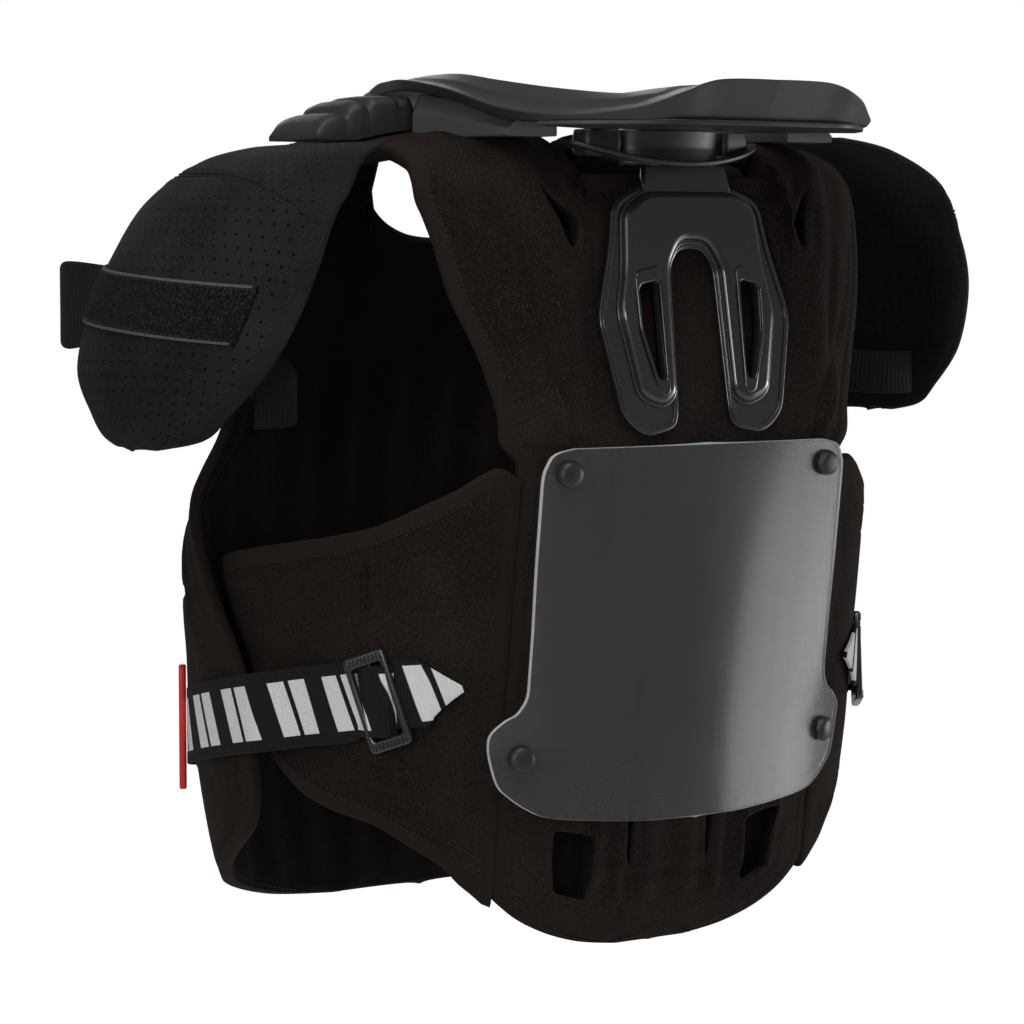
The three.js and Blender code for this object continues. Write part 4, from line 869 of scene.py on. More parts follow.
@dataclass(frozen=True)
class Torso:
    """The vest's body: its main sizes and the surfaces that its panels follow."""

    length: float = 412
    half: float = 172
    depth: float = 142
    centre: float = 20
    square: float = 3.2
    lap: float = 14.7
    shoulder_top: float = 23
    shoulder_slope: float = 9
    neck_half: float = 62
    neck_length: float = 92
    neck_drop: float = 36
    seam_half: float = 105
    RISE: ClassVar[float] = 23 / 412
    SEAM: ClassVar[float] = 105 / 172
    BACK: ClassVar[Table] = Table(
        "down depth half", (-RISE, 0.25, 0.79), (-0.99 * RISE, 0.35, 0.8), (-0.92 * RISE, 0.52, 0.81),
        (-0.59 * RISE, 0.72, 0.825), (-0.004, 0.83, 0.84), (0.03, 0.878, 0.845), (0.09, 0.93, 0.82),
        (0.16, 0.958, 0.785), (0.23, 0.98, 0.72), (0.3, 0.995, 0.67), (0.34, 1.0, 0.662), (0.372, 0.995, SEAM),
        (0.42, 0.975, SEAM), (0.48, 0.945, SEAM), (0.56, 0.915, SEAM), (0.65, 0.88, SEAM), (0.74, 0.85, SEAM),
        (0.83, 0.82, SEAM), (0.9, 0.8, SEAM), (0.94, 0.78, 0.54), (0.97, 0.755, 0.42), (0.99, 0.73, 0.28),
        (1.0, 0.715, 0.13),
    )
    FRONT: ClassVar[Table] = Table(
        "down depth turn", (-RISE, 0.34, 0.47), (-0.99 * RISE, 0.42, 0.47), (-0.65 * RISE, 0.58, 0.46),
        (0.02, 0.72, 0.44), (0.085, 0.79, 0.4), (0.17, 0.87, 0.37), (0.27, 0.96, 0.37), (0.35, 1.02, 0.4),
        (0.4, 1.045, 0.5), (0.43, 1.055, 0.6), (0.46, 1.06, 0.7), (0.52, 1.065, 0.83), (0.6, 1.06, 0.93),
        (0.68, 1.055, 0.975), (0.78, 1.04, 0.985), (0.85, 1.015, 0.965), (0.89, 1.0, 0.89), (0.92, 0.98, 0.79),
        (0.95, 0.96, 0.66), (0.975, 0.94, 0.49), (0.997, 0.92, 0.3), (1.008, 0.91, 0.12),
    )
    RING: ClassVar[Table] = Table(
        "down wide", (-0.06, 1.0), (0.5, 1.0), (0.65, 0.985), (0.75, 0.98), (0.85, 0.955), (1.02, 0.88)
    )

    def ring(self, z: np.ndarray) -> np.ndarray:
        """Half-width of the torso's ring at a height."""
        return self.half * self.RING.at("wide", self.RING.place("down", -np.asarray(z) / self.length))

    def oval(self, x: np.ndarray, half: np.ndarray) -> np.ndarray:
        """Share of the depth left at a sideways place on a squarish oval."""
        return (1 - np.minimum(np.abs(x) / half, 0.9999) ** self.square) ** (1 / self.square)

    def drop(self, x: np.ndarray, down: np.ndarray) -> np.ndarray:
        """How far the shoulders slope down.

        Args:
            x: sideways places.
            down: shares of the torso's length below its top.

        Returns:
            The drop at each place.
        """
        on_shoulder = np.clip(1 - (down + self.RISE) / 0.11, 0, 1)
        beyond = np.maximum(0, (np.abs(x) - self.neck_half) / (self.half - self.neck_half))
        return on_shoulder * 2 * self.shoulder_slope * beyond**2

    def back(self, x: np.ndarray, place: np.ndarray) -> np.ndarray:
        """Outer surface of the back.

        Args:
            x: sideways places.
            place: places in the back's table.

        Returns:
            The surface's points.
        """
        down = self.BACK.at("down", place)
        y = self.centre - self.depth * self.BACK.at("depth", place) * self.oval(x, self.ring(-self.length * down))
        return np.stack([x + 0 * y, y, -self.length * down - self.drop(x, down)], axis=-1)

    def back_y(self, x: np.ndarray, z: np.ndarray) -> np.ndarray:
        """Depth of the back's outer surface at a sideways place and a height."""
        return self.back(np.asarray(x, float), self.BACK.place("down", -np.asarray(z, float) / self.length))[..., 1]

    def front(self, turn: np.ndarray, place: np.ndarray) -> np.ndarray:
        """Outer surface of the chest panel.

        Args:
            turn: turns toward the side, from -1 to 1.
            place: places in the chest's table.

        Returns:
            The surface's points.
        """
        down = self.FRONT.at("down", place)
        angle = np.abs(turn) * np.pi / 2
        x = np.sign(turn) * (self.ring(-self.length * down) + self.lap) * np.sin(angle) ** (2 / self.square)
        y = self.centre + self.depth * self.FRONT.at("depth", place) * np.cos(angle) ** (2 / self.square)
        return np.stack([x, y, -self.length * down - self.drop(x, down)], axis=-1)

    def flank(
        self, forward: np.ndarray, z: np.ndarray, layer: np.ndarray, off: float
    ) -> tuple[np.ndarray, np.ndarray]:
        """Points and normals on the right flank.

        Args:
            forward: place forward of the centre, as a share of the depth there.
            z: height.
            layer: 0 on the wing, 1 on the chest panel.
            off: how far off that surface.

        Returns:
            The points and the outward normals.
        """
        forward, z = np.broadcast_arrays(np.asarray(forward, float), np.asarray(z, float))
        half = self.ring(z) + self.lap * layer
        rear = self.depth * self.BACK.at("depth", self.BACK.place("down", -z / self.length))
        front = self.depth * self.FRONT.at(
            "depth", self.FRONT.place("down", -z / self.length)
        ) - self.lap * (1 - layer)
        depth = np.where(forward < 0, rear, front)
        share = np.minimum(np.abs(forward), 0.999)
        x = half * (1 - share**self.square) ** (1 / self.square)
        normal = np.stack(
            [(x / half) ** (self.square - 1) / half, np.sign(forward) * share ** (self.square - 1) / depth, 0 * x],
            axis=-1
        )
        normal = unit(normal)
        return np.stack([x, self.centre + forward * depth, z], axis=-1) + normal * off, normal


TORSO = Torso()


def start_places(table: Table, cut: Callable[[np.ndarray], np.ndarray]) -> np.ndarray:
    """Place in a table where each column of a panel starts below a cut-out.

    Args:
        table: the panel's table.
        cut: tells for places (one for each row of a dense grid) which points of each column are cut away.

    Returns:
        The last place cut away in each column, smoothed a little.
    """
    dense = np.linspace(0, table.last * 0.5, 1500)
    away = cut(dense[:, None])
    last = np.where(away.any(axis=0), dense[len(dense) - 1 - np.argmax(away[::-1], axis=0)], 0.0)
    kernel = np.ones(5) / 5
    return np.convolve(np.pad(last, 2, mode="edge"), kernel, mode="valid")


# Sizes along a padded wall's edges, in millimetres. Each END is where a thing starts and stops fading, by inset.
BINDING_RISE = 0.7
BINDING_END = (8.2, 6.6)
RELIEF_END = (6, 16)
PUCKER = 0.35
PUCKER_INSET = 11.5
PUCKER_REACH = 3
OUTER_THINNING = 0.33
INNER_THINNING = 0.67


def padded_wall(
    grid: np.ndarray, wall: float, hint: Sequence[float], raised: np.ndarray, inner: Optional[np.ndarray] = None,
    edge: float = 6.0, reach: float = 22.0,
) -> tuple[Wall, np.ndarray]:
    """A padded wall that thins toward its bound edges.

    Its thickness goes from the edge's to the wall's over the reach, with two thirds of the difference taken from
    the inner face. The binding stands a little proud along the edges, and beside it the cloth puckers: a sine of
    the run along the edge times a ridge.

    Args:
        grid: outer surface.
        wall: thickness of the padding.
        hint: rough direction of the outer side.
        raised: height of ribs and other relief on the outer face.
        inner: the same on the inner face.
        edge: thickness at the edges.
        reach: how far in from the edges the padding thins.

    Returns:
        The wall, and the normals of its outer face.
    """
    normal = grid_normals(grid, hint)
    inset = edge_inset(grid)
    thin = (wall - edge) * (1 - smoothstep(inset, 0, reach))
    bound = BINDING_RISE * smoothstep(inset, *BINDING_END)
    fade = smoothstep(inset, *RELIEF_END)
    left, right, top, foot = edge_distances(grid)
    run = np.where(np.minimum(left, right) < np.minimum(top, foot), top, left)
    pucker = PUCKER * np.sin(run * 0.98 + np.sin(run / 17)) * ridge(inset - PUCKER_INSET, PUCKER_REACH)
    raised = raised + pucker / np.maximum(fade, 0.2)
    channels = inner * fade if inner is not None else 0
    outer = grid + normal * (raised * fade - OUTER_THINNING * thin + bound)[..., None]
    deep = grid - normal * (wall - INNER_THINNING * thin - channels)[..., None]
    return Wall(outer, deep, bulge=edge * 0.35), normal


@dataclass
class BackPanel:
    """The padded back with its ribs, its pierced vents and the bed for the strut."""

    wall: float = 14
    rib_height: float = 3.6
    lip_height: float = 1.5
    lip_inset: float = 2.0
    lip_breadth: float = 2.2
    fold_height: float = 0.9
    edge_step: float = 2.6
    side_groove: float = 1.6
    foot_groove: float = 1.3
    unevenness: float = 0.5
    lining_channel: float = 1.6
    pocket: float = 6.5
    notch_half: float = 64
    notch_foot: float = -3.6
    rows: int = 220
    columns: int = 160
    RIBS: ClassVar[np.ndarray] = np.array([
        [0.4, 0.02, 0.52, 0.3, 0.05, 1.0], [0.56, 0.0, 0.44, 0.32, 0.05, 1.0], [0.7, 0.03, 0.56, 0.32, 0.06, 0.8],
        [0.3, 0.36, 0.28, 0.9, 0.05, 1.0], [0.1, 0.15, 0.08, 0.92, 0.045, 0.8], [0.48, 0.4, 0.42, 0.84, 0.05, 0.9],
        [0.2, 0.5, 0.19, 0.93, 0.025, 0.9], [0.37, 0.5, 0.35, 0.82, 0.025, 0.8], [0.62, 0.1, 0.5, 0.34, 0.02, 0.7],
    ])
    VENTS: ClassVar[tuple] = (
        ((0.515, 0.022), (0.47, 0.062), (0.452, 0.1), (0.43, 0.098), (0.41, 0.066)),
        ((0.145, 0.64), (0.175, 0.65), (0.165, 0.75), (0.145, 0.76)),
        ((0.14, 0.8), (0.165, 0.8), (0.16, 0.88), (0.145, 0.89)),
        ((0.29, 0.845), (0.44, 0.832), (0.415, 0.915), (0.3, 0.93)),
    )
    BED_DOWN: ClassVar[tuple] = (0, 10, 18, 44, 78, 130, 141, 146)
    BED_HALF: ClassVar[tuple] = (29, 34, 50, 55, 65, 55, 42, 10)

    def grid(self) -> np.ndarray:
        """Outer surface below the neck's cut-out and the bracket's notch.

        Returns:
            Its points, row by row.
        """
        s = np.linspace(-1, 1, self.columns)
        x = 0.8 * TORSO.half * s

        def cut(place: np.ndarray) -> np.ndarray:
            """Tells which points are cut away.

            Args:
                place: a place in the back's table for each row.

            Returns:
                True where a point lies in the neck's cut-out or the notch.
            """
            surface = TORSO.back(x[None], place)
            neck = (np.abs(x) / TORSO.neck_half) ** 2.4 + (np.abs(surface[..., 1]) / TORSO.neck_length) ** 2.4 < 1
            notch = (np.abs(x) < self.notch_half) & (surface[..., 2] > self.notch_foot)
            return neck | notch

        first = start_places(TORSO.BACK, cut)
        share = np.linspace(0, 1, self.rows)[:, None]
        place = first + (TORSO.BACK.last - first) * share
        half = TORSO.half * TORSO.BACK.at("half", place)
        return TORSO.back(half * s, place)

    def relief(self, grid: np.ndarray) -> np.ndarray:
        """Height of ribs, vent lips and the foam's step over the cloth.

        A rib is a ridge along its line, and a vent's lip one beside the vent's outline. Folds fan out from the foot,
        and grooves run beside both edges.

        Args:
            grid: the outer surface.

        Returns:
            The height at each point.
        """
        x, z = np.abs(grid[..., 0]), grid[..., 2]
        total = np.zeros_like(x)
        for x0, down0, x1, down1, breadth, height in self.RIBS:
            a, b = np.array([[x0, down0], [x1, down1]]) * [TORSO.half, -TORSO.length]
            total += self.rib_height * height * ridge(line_distance(x, z, a, b), breadth * TORSO.half)
        for vent in self.VENTS:
            corners = np.array(vent) * [TORSO.half, -TORSO.length]
            sides = zip(corners, np.roll(corners, -1, axis=0))
            away = np.minimum.reduce([line_distance(x, z, a, b) for a, b in sides])
            total += self.lip_height * ridge(away - self.lip_inset, self.lip_breadth)
        left, right = edge_distances(grid)[:2]
        side = np.minimum(left, right)
        fan = np.arctan2(x, z + 380)
        folds = self.fold_height * np.sin(fan * 58 + 1.3 * np.sin(z / 38))
        total += folds * smoothstep(x, 62, 78) * smoothstep(z, -190, -110) * smoothstep(side, 14, 24)
        total += self.edge_step * (smoothstep(side, 15, 21) - 1) * smoothstep(z, -170, -150)
        groove = self.side_groove * ridge(side - 26 - 10 * smoothstep(-z, 60, 150), 2.4)
        total -= groove * smoothstep(-z, 20, 60) * smoothstep(z, -190, -160)
        total -= self.foot_groove * ridge(z + 372 + 18 * (x / 100) ** 2, 3) * smoothstep(x, 100, 70)
        return total

    def bed(self, grid: np.ndarray) -> np.ndarray:
        """How far the cloth is pressed in behind the strut.

        Args:
            grid: the outer surface.

        Returns:
            The distance forward at each point.
        """
        x, z = np.abs(grid[..., 0]), grid[..., 2]
        reach = np.interp(-z, self.BED_DOWN, self.BED_HALF)
        inside = smoothstep(reach + 5 - x, 0, 9) * smoothstep(z, -147, -139)
        behind = BackStrut.back_y(z) + 0.9
        return np.maximum(0, behind - grid[..., 1]) * inside * (z < 5)

    def build(self, stitching: Stitching) -> None:
        """Makes the panel, cuts its vents and sews its edges.

        Args:
            stitching: takes up its seams.
        """
        grid = self.grid()
        slow = self.unevenness * np.sin(grid[..., 0] / 23 + 1) * np.sin(grid[..., 2] / 31)
        channels = self.lining_channel * np.cos(grid[..., 0] / TORSO.half * 9 * np.pi) ** 2
        wall, normal = padded_wall(grid, self.wall, (0, -1, 0), self.relief(grid) + slow, channels)
        wall.outer = wall.outer + self.bed(wall.outer)[..., None] * np.array([0, 1, 0])
        wall.inner[..., 1] = np.maximum(wall.inner[..., 1], wall.outer[..., 1] + 4)
        # The inner face takes the lining's painted shade.
        piece = wall.piece("back_pad", CLOTH, SHADE_DARK_LINING)
        cutters = []
        for vent in self.VENTS:
            for side in Side:
                outline = rounded(np.array(vent) * [TORSO.half * side.value, -TORSO.length], 3.0)
                deep = self.pocket if vent is self.VENTS[-1] else 2 * self.wall
                floor = TORSO.back_y(outline[:, 0], outline[:, 1]) + deep
                rings = [np.stack([outline[:, 0], y, outline[:, 1]], axis=-1) for y in (floor - 60, floor)]
                cutters.append(loft(np.stack(rings)))
        # The vents' walls take the lining's finish, painted dark as the shade inside the vents.
        cutter = make_piece("vent_cutter", *join_parts(cutters), [CLOTH, SHADE_DARK_LINING])
        cutter.data.polygons.foreach_set("material_index", np.ones(len(cutter.data.polygons), dtype=np.int32))
        cut = piece.modifiers.new("vents", "BOOLEAN")
        cut.object, cut.operation, cut.solver = cutter, "DIFFERENCE", "FAST"
        apply_modifiers(piece)
        bpy.data.objects.remove(cutter)
        for edge in (0, 1):
            stitching.sew_side(wall.outer, normal, edge, slice(14, 135))
        for edge in (2, 3):
            stitching.sew_side(wall.outer, normal, edge)
        settle(piece, ["back_panel"])


def line_distance(x: np.ndarray, z: np.ndarray, a: np.ndarray, b: np.ndarray) -> np.ndarray:
    """Distance from points to the straight line between two points.

    Args:
        x: first coordinates of the points.
        z: second coordinates of the points.
        a: the line's start.
        b: the line's end.

    Returns:
        The distances.
    """
    run = b - a
    t = np.clip(((x - a[0]) * run[0] + (z - a[1]) * run[1]) / (run @ run), 0, 1)
    return np.hypot(x - a[0] - t * run[0], z - a[1] - t * run[1])


@dataclass
class FrontPanel:
    """The padded chest panel, which laps over the wings, with sewn channels on its inner face."""

    wall: float = 12
    padding: float = 3.0
    groove: float = 2.4
    foot_rib: float = 2.0
    lining_channel: float = 2.6
    lining_seam: float = 1.4
    crowding: float = 1.35
    rows: int = 180
    columns: int = 170
    GROOVES: ClassVar[tuple] = (-128, -196, -262)

    def grid(self) -> np.ndarray:
        """Outer surface below the neck's cut-out.

        Returns:
            Its points, row by row.
        """
        t = np.linspace(-1, 1, self.columns)
        spread = np.sign(t) * np.abs(t) ** self.crowding

        def cut(place: np.ndarray) -> np.ndarray:
            """Tells which points are cut away.

            Args:
                place: a place in the chest's table for each row.

            Returns:
                True where a point lies in the neck's cut-out.
            """
            surface = TORSO.front(TORSO.FRONT.at("turn", place) * spread[None], place)
            high = (surface[..., 2] - TORSO.shoulder_top) / (TORSO.neck_drop + TORSO.shoulder_top)
            return (np.abs(surface[..., 0]) / TORSO.neck_half) ** 2.2 + np.abs(high) ** 2.2 < 1

        first = start_places(TORSO.FRONT, cut)
        share = np.linspace(0, 1, self.rows)[:, None]
        place = first + (TORSO.FRONT.last - first) * share
        return TORSO.front(TORSO.FRONT.at("turn", place) * spread, place)

    def build(self, stitching: Stitching) -> None:
        """Makes the panel and sews its edges.

        Args:
            stitching: takes up its seams.
        """
        grid = self.grid()
        x, z = grid[..., 0], grid[..., 2]
        side = np.minimum(*edge_distances(grid)[:2])
        chest = self.padding * smoothstep(side, 26, 34) * smoothstep(z, -330, -318)
        chest -= self.padding * ridge(x, 3.2) * smoothstep(z, -330, -310) * smoothstep(-z, 60, 80)
        for level in self.GROOVES:
            chest -= self.groove * ridge(z - level - 0.0011 * x**2, 3) * smoothstep(side, 30, 40)
        lower = self.foot_rib * ridge(np.abs(x) - 46, 9) * smoothstep(-z, 335, 350)
        channels = self.lining_channel * np.cos(x / TORSO.half * 5.5 * np.pi) ** 2 * smoothstep(-z, 60, 120)
        channels -= self.lining_seam * ridge(z + 212, 3.5)
        wall, normal = padded_wall(grid, self.wall, (0, 1, 0), chest + lower, channels)
        for edge in (0, 1):
            stitching.sew_side(wall.outer, normal, edge)
            stitching.sew_side(wall.inner, -normal, edge)
        for edge in (2, 3):
            stitching.sew_side(wall.outer, normal, edge)
        # The inner face takes the lining's painted shade.
        settle(wall.piece("chest_pad", CLOTH, SHADE_DARK_LINING), ["front_panel"])


@dataclass
class SideWings:
    """The padded wings between the back and the chest panel."""

    wall: float = 10
    rear: float = -0.93
    front: float = 0.5
    unevenness: float = 0.5
    seam_groove: float = 1.5
    slit_lip: float = 1.0
    slit_depth: float = 2.4
    top_groove: float = 0.7
    rows: int = 120
    columns: int = 120
    SLIT: ClassVar[np.ndarray] = np.array([[-79.0, -205.0], [-80.0, -226.0]])
    EDGES: ClassVar[Table] = Table(
        "forward top bottom", (-0.96, 0.4, 0.94), (-0.925, 0.385, 0.925), (-0.9, 0.376, 0.91), (-0.87, 0.386, 0.895),
        (-0.8, 0.41, 0.862), (-0.6, 0.447, 0.822), (-0.35, 0.466, 0.808), (-0.1, 0.478, 0.79), (0.15, 0.49, 0.745),
        (0.35, 0.5, 0.68), (0.5, 0.51, 0.62),
    )

    def build(self, stitching: Stitching) -> None:
        """Makes both wings and sews their upper and lower edges.

        Args:
            stitching: takes up its seams.
        """
        nominal = np.linspace(self.rear, self.front, self.columns)
        place = self.EDGES.place("forward", nominal)
        top, bottom = (-TORSO.length * self.EDGES.at(name, place) for name in ("top", "bottom"))
        z = top + (bottom - top) * np.linspace(0, 1, self.rows)[:, None]
        seam = -((1 - ((TORSO.seam_half + 0.6) / TORSO.ring(z)) ** TORSO.square) ** (1 / TORSO.square))
        forward = self.front + (nominal - self.front) * (seam - self.front) / (self.rear - self.front)
        grid, _ = TORSO.flank(forward, z, 0.0, 0.0)
        inset = edge_distances(grid)[0]
        relief = self.unevenness * np.sin(z / 17) * np.sin(inset / 21) - self.seam_groove * ridge(inset - 12, 2.4)
        slit = line_distance(TORSO.depth * forward, z, *self.SLIT)
        relief += self.slit_lip * ridge(slit - 3.5, 1.8) - self.slit_depth * ridge(slit, 2.2)
        relief -= self.top_groove * ridge(z - top + 24, 2.0)
        wall, normal = padded_wall(grid, self.wall, (1, 0, 0), relief, reach=14)
        for side in Side:
            # The inner face takes the lining's painted shade.
            piece = wall.turned(side).piece(side.name_of("wing_pad"), CLOTH, SHADE_DARK_LINING)
            settle(piece, [side.name_of("side_wing")])
            for edge in (2, 3):
                stitching.sew_side(side.turn(wall.outer), side.turn(normal), edge, slice(6, -6))


@dataclass
class ShoulderBridges:
    """The padded straps over the shoulders, from the back to the chest panel."""

    wall: float = 14
    rows: int = 60
    columns: int = 60

    def build(self) -> None:
        """Makes both bridges."""
        outer_x = TORSO.half * TORSO.BACK.at("half", 0.0)
        x = np.linspace(TORSO.neck_half, outer_x, self.columns)
        width = TORSO.ring(TORSO.shoulder_top) + TORSO.lap
        turn = np.arcsin((x / width) ** (TORSO.square / 2)) * 2 / np.pi
        rear, front = TORSO.back(x, 0.0 * x), TORSO.front(turn, 0.0 * x)
        share = np.linspace(0, 1, self.rows)[:, None]
        y = rear[:, 1] + 0.6 + (front[:, 1] - rear[:, 1] - 1.2) * share
        grid = np.stack([x + 0 * y, y, rear[:, 2] + (front[:, 2] - rear[:, 2]) * share], axis=-1)
        wall, _ = padded_wall(grid, self.wall, (0, 0, 1), 0.4 * np.sin(y / 5), edge=9, reach=10)
        for side in Side:
            piece = wall.turned(side).piece(side.name_of("bridge_pad"), CLOTH)
            settle(piece, [side.name_of("shoulder_bridge")])


@dataclass
class Collar:
    """The hard ring round the neck with its flange, its side blocks and the cup that carries it."""

    half_width: float = 115
    half_length: float = 139
    centre_y: float = -47
    rise: float = 32
    foot: float = 22
    edge: float = 4
    wall: float = 9
    inner: float = 22
    flange: float = 1.8
    cup_half: float = 62
    cup_depth: float = 30
    cup_y: float = -84
    lip: float = 2.6
    lip_turn: float = 11
    crest_share: float = 0.96
    block_ends: tuple[float, float] = (-100, -12)
    block_drop: float = 6
    cheek_half: float = 10.5
    cheek_place: float = 0.7
    HOLLOW: ClassVar[tuple] = ((0.56, 0.4), (0.46, 1.8), (0.3, 1.5))
    RING: ClassVar[Table] = Table(
        "out_x out_y top under inset crest_x crest_y crest", (0.0, -1.0, 0.66, 0.0, 0.07, 0.0, -0.56, 0.58),
        (0.31, -0.99, 0.64, 0.0, 0.07, 0.28, -0.54, 0.56), (0.49, -0.97, 0.44, 0.0, 0.06, 0.5, -0.66, 0.46),
        (0.65, -0.87, 0.2, 0.0, 0.03, 0.62, -0.58, 0.49), (0.86, -0.67, 0.1, 0.0, 0.02, 0.75, -0.4, 0.59),
        (0.975, -0.4, 0.23, 0.05, 0.02, 0.83, -0.17, 0.73), (1.0, -0.07, 0.58, 0.4, 0.02, 0.85, 0.06, 0.86),
        (0.975, 0.25, 0.78, 0.58, 0.02, 0.81, 0.33, 0.88), (0.9, 0.5, 0.79, 0.6, 0.02, 0.74, 0.52, 0.84),
        (0.82, 0.7, 0.68, 0.5, 0.02, 0.64, 0.7, 0.77), (0.7, 0.88, 0.62, 0.44, 0.02, 0.48, 0.84, 0.72),
        (0.4, 0.98, 0.6, 0.42, 0.02, 0.26, 0.93, 0.7), (0.0, 1.0, 0.6, 0.4, 0.02, 0.0, 0.95, 0.7),
    )

    def sections(self, place: np.ndarray) -> np.ndarray:
        """The ring's sections.

        Args:
            place: places round the ring, counted on over the left half back to the rear.

        Returns:
            Eight corners for each place.
        """
        last = self.RING.last
        side = np.where(place > last, -1.0, 1.0)
        at = np.where(place > last, 2 * last - place, place)
        value = {name: self.RING.at(name, at) for name in self.RING.columns}
        out_x, out_y = self.half_width * value["out_x"], self.half_length * value["out_y"]
        crest_x, crest_y = self.half_width * value["crest_x"], self.half_length * value["crest_y"]
        top, under, crest = (self.foot + self.rise * value[name] for name in ("top", "under", "crest"))
        set_in = 1 - value["inset"]
        pull = 1 - self.inner / np.hypot(crest_x, crest_y * 0.8)
        in_z = np.maximum(crest - self.wall, under + self.edge)
        top = np.maximum(top, under + self.edge * 0.6)
        ridge_x, ridge_y = crest_x * self.crest_share, crest_y * self.crest_share

        def point(x: np.ndarray, y: np.ndarray, z: np.ndarray) -> np.ndarray:
            """A corner of the section, on its side of the ring."""
            return np.stack([side * x, self.centre_y + y, z + 0 * x], axis=-1)

        def blend(t: float, dip: float) -> np.ndarray:
            """A corner between the outer edge at 0 and the ridge at 1, a little below their line."""
            return point(out_x + (ridge_x - out_x) * t, out_y + (ridge_y - out_y) * t, top + (crest - top) * t - dip)

        return np.stack([
            point(out_x, out_y, top), point(out_x * set_in, out_y * set_in, under),
            point(crest_x * pull, crest_y * pull, in_z - self.edge * 0.7),
            point(crest_x * pull, crest_y * pull, in_z),
            point(ridge_x, ridge_y, crest), *(blend(t, dip) for t, dip in self.HOLLOW),
        ], axis=1)

    def foot_at(self, y: np.ndarray) -> np.ndarray:
        """Height of the ring's outer foot along its side."""
        share = (y - self.centre_y) / self.half_length
        return self.foot + self.rise * self.RING.at("under", self.RING.place("out_y", share))

    def build_shell(self) -> None:
        """The ring itself, rounded along its edges."""
        place = np.linspace(0, 2 * self.RING.last, 300, endpoint=False)
        ring = loft(rounded(self.sections(place), 1.3), closed=True)
        settle(make_piece("collar_ring", *ring, [BRACE], crease=60, even=True), ["collar_shell"])

    def build_base(self) -> None:
        """The thin flange under the ring's rear."""
        place = np.linspace(-1, 1, 91) * 4.4
        side, at = np.sign(place + 1e-9), np.abs(place)
        out_x = side * self.half_width * self.RING.at("out_x", at) * 0.985
        out_y = self.centre_y + self.half_length * self.RING.at("out_y", at) * 0.95
        in_x, in_y = out_x * 0.45, out_y + (self.cup_y - out_y) * 0.75
        top = np.full_like(out_x, self.foot + 0.6)
        low = top - self.flange - 0.9
        corners = corner_rows((out_x, out_y, top), (out_x, out_y, low), (in_x, in_y, low), (in_x, in_y, top))
        settle(make_piece("collar_flange", *loft(rounded(corners, 0.6)), [BRACE]), ["collar_base"])

    def build_blocks(self) -> None:
        """The wedge blocks under the ring's sides, with a pale bevelled face outside."""
        y = np.linspace(*self.block_ends, 60)
        foot = self.foot_at(y) - 4 * GAP
        inner, outer = TORSO.neck_half + 14, self.half_width * 0.93
        cloth = TORSO.back(outer, np.linspace(0, 8, 200))
        cloth_z = np.interp(y, cloth[::-1, 1], cloth[::-1, 2])
        cloth_z = np.clip(cloth_z, TORSO.shoulder_top - self.block_drop, TORSO.shoulder_top)
        low = np.minimum(cloth_z - 1.5, foot - 1.5)
        outline = (inner, low), (outer, low), (outer, low + (foot - low) * 0.5), (outer - 5, foot), (inner, foot)
        corners = corner_rows(*((x + 0 * y, y, z) for x, z in outline))
        for side in Side:
            points, faces = loft(rounded(side.turn(corners), 1.0))
            piece = make_piece(side.name_of("side_wedge"), points, faces, [PALE_BRACE], even=True)
            settle(piece, [side.name_of("collar_block")])

    def build_cup(self) -> None:
        """The cup: a lip that turns up at its ends, a round wall and two cheeks."""
        top = self.foot - self.flange
        x = np.linspace(-1, 1, 80) * self.cup_half
        lip_z = 1 + self.lip_turn * (x / self.cup_half) ** 2
        lip_y = self.cup_y - self.cup_depth * np.sqrt(1 - (0.98 * x / self.cup_half) ** 2)
        inner = np.minimum(lip_y + 12, self.cup_y + 4)
        lip = corner_rows(
            (x, lip_y, lip_z + self.lip), (x, lip_y + 0.6, lip_z), (x, inner, lip_z), (x, inner, lip_z + self.lip)
        )
        angle = np.linspace(-1, 1, 60) * np.pi / 2
        wx = self.cup_half * 0.5 * np.sin(angle)
        wy = self.cup_y - (self.cup_depth - 5) * (0.35 + 0.65 * np.cos(angle))
        flat = np.zeros_like(wx)
        wall = corner_rows(
            (wx, wy, flat + top), (wx, wy + 1.6, flat + 11), (wx, wy, flat + 2),
            (wx * 0.86, wy + 5, flat + 2), (wx * 0.86, wy + 5, flat + top),
        )
        parts = [loft(rounded(lip, 1.0)), loft(rounded(wall, 1.2))]
        foot = self.lip * 0.5 + self.lip_turn * self.cheek_place**2
        cheek = np.array([[-1, -1], [1, -0.5], [1, 1], [-1, 1]]) * [self.cheek_half, self.cup_depth * 0.33]
        cheek = rounded(cheek, 4.5, 5)
        levels = (foot, 0.82), (foot + 1.2, 0.95), ((foot + top) / 2, 1.0), (top - 1, 0.95), (top, 0.9)
        for side in (-1, 1):
            rings = []
            for z, size in levels:
                cheek_x = cheek[:, 0] * size * side + side * self.cup_half * self.cheek_place
                rings.append(
                    np.stack([cheek_x, cheek[:, 1] * size + self.cup_y - 6, np.full(len(cheek), z)], axis=-1)
                )
            parts.append(loft(np.stack(rings)))
        settle(make_piece("collar_cup", *join_parts(parts), [BRACE], even=True), ["neck_bracket"])

    def build(self) -> None:
        """Makes all of the collar."""
        self.build_shell()
        self.build_base()
        self.build_blocks()
        self.build_cup()


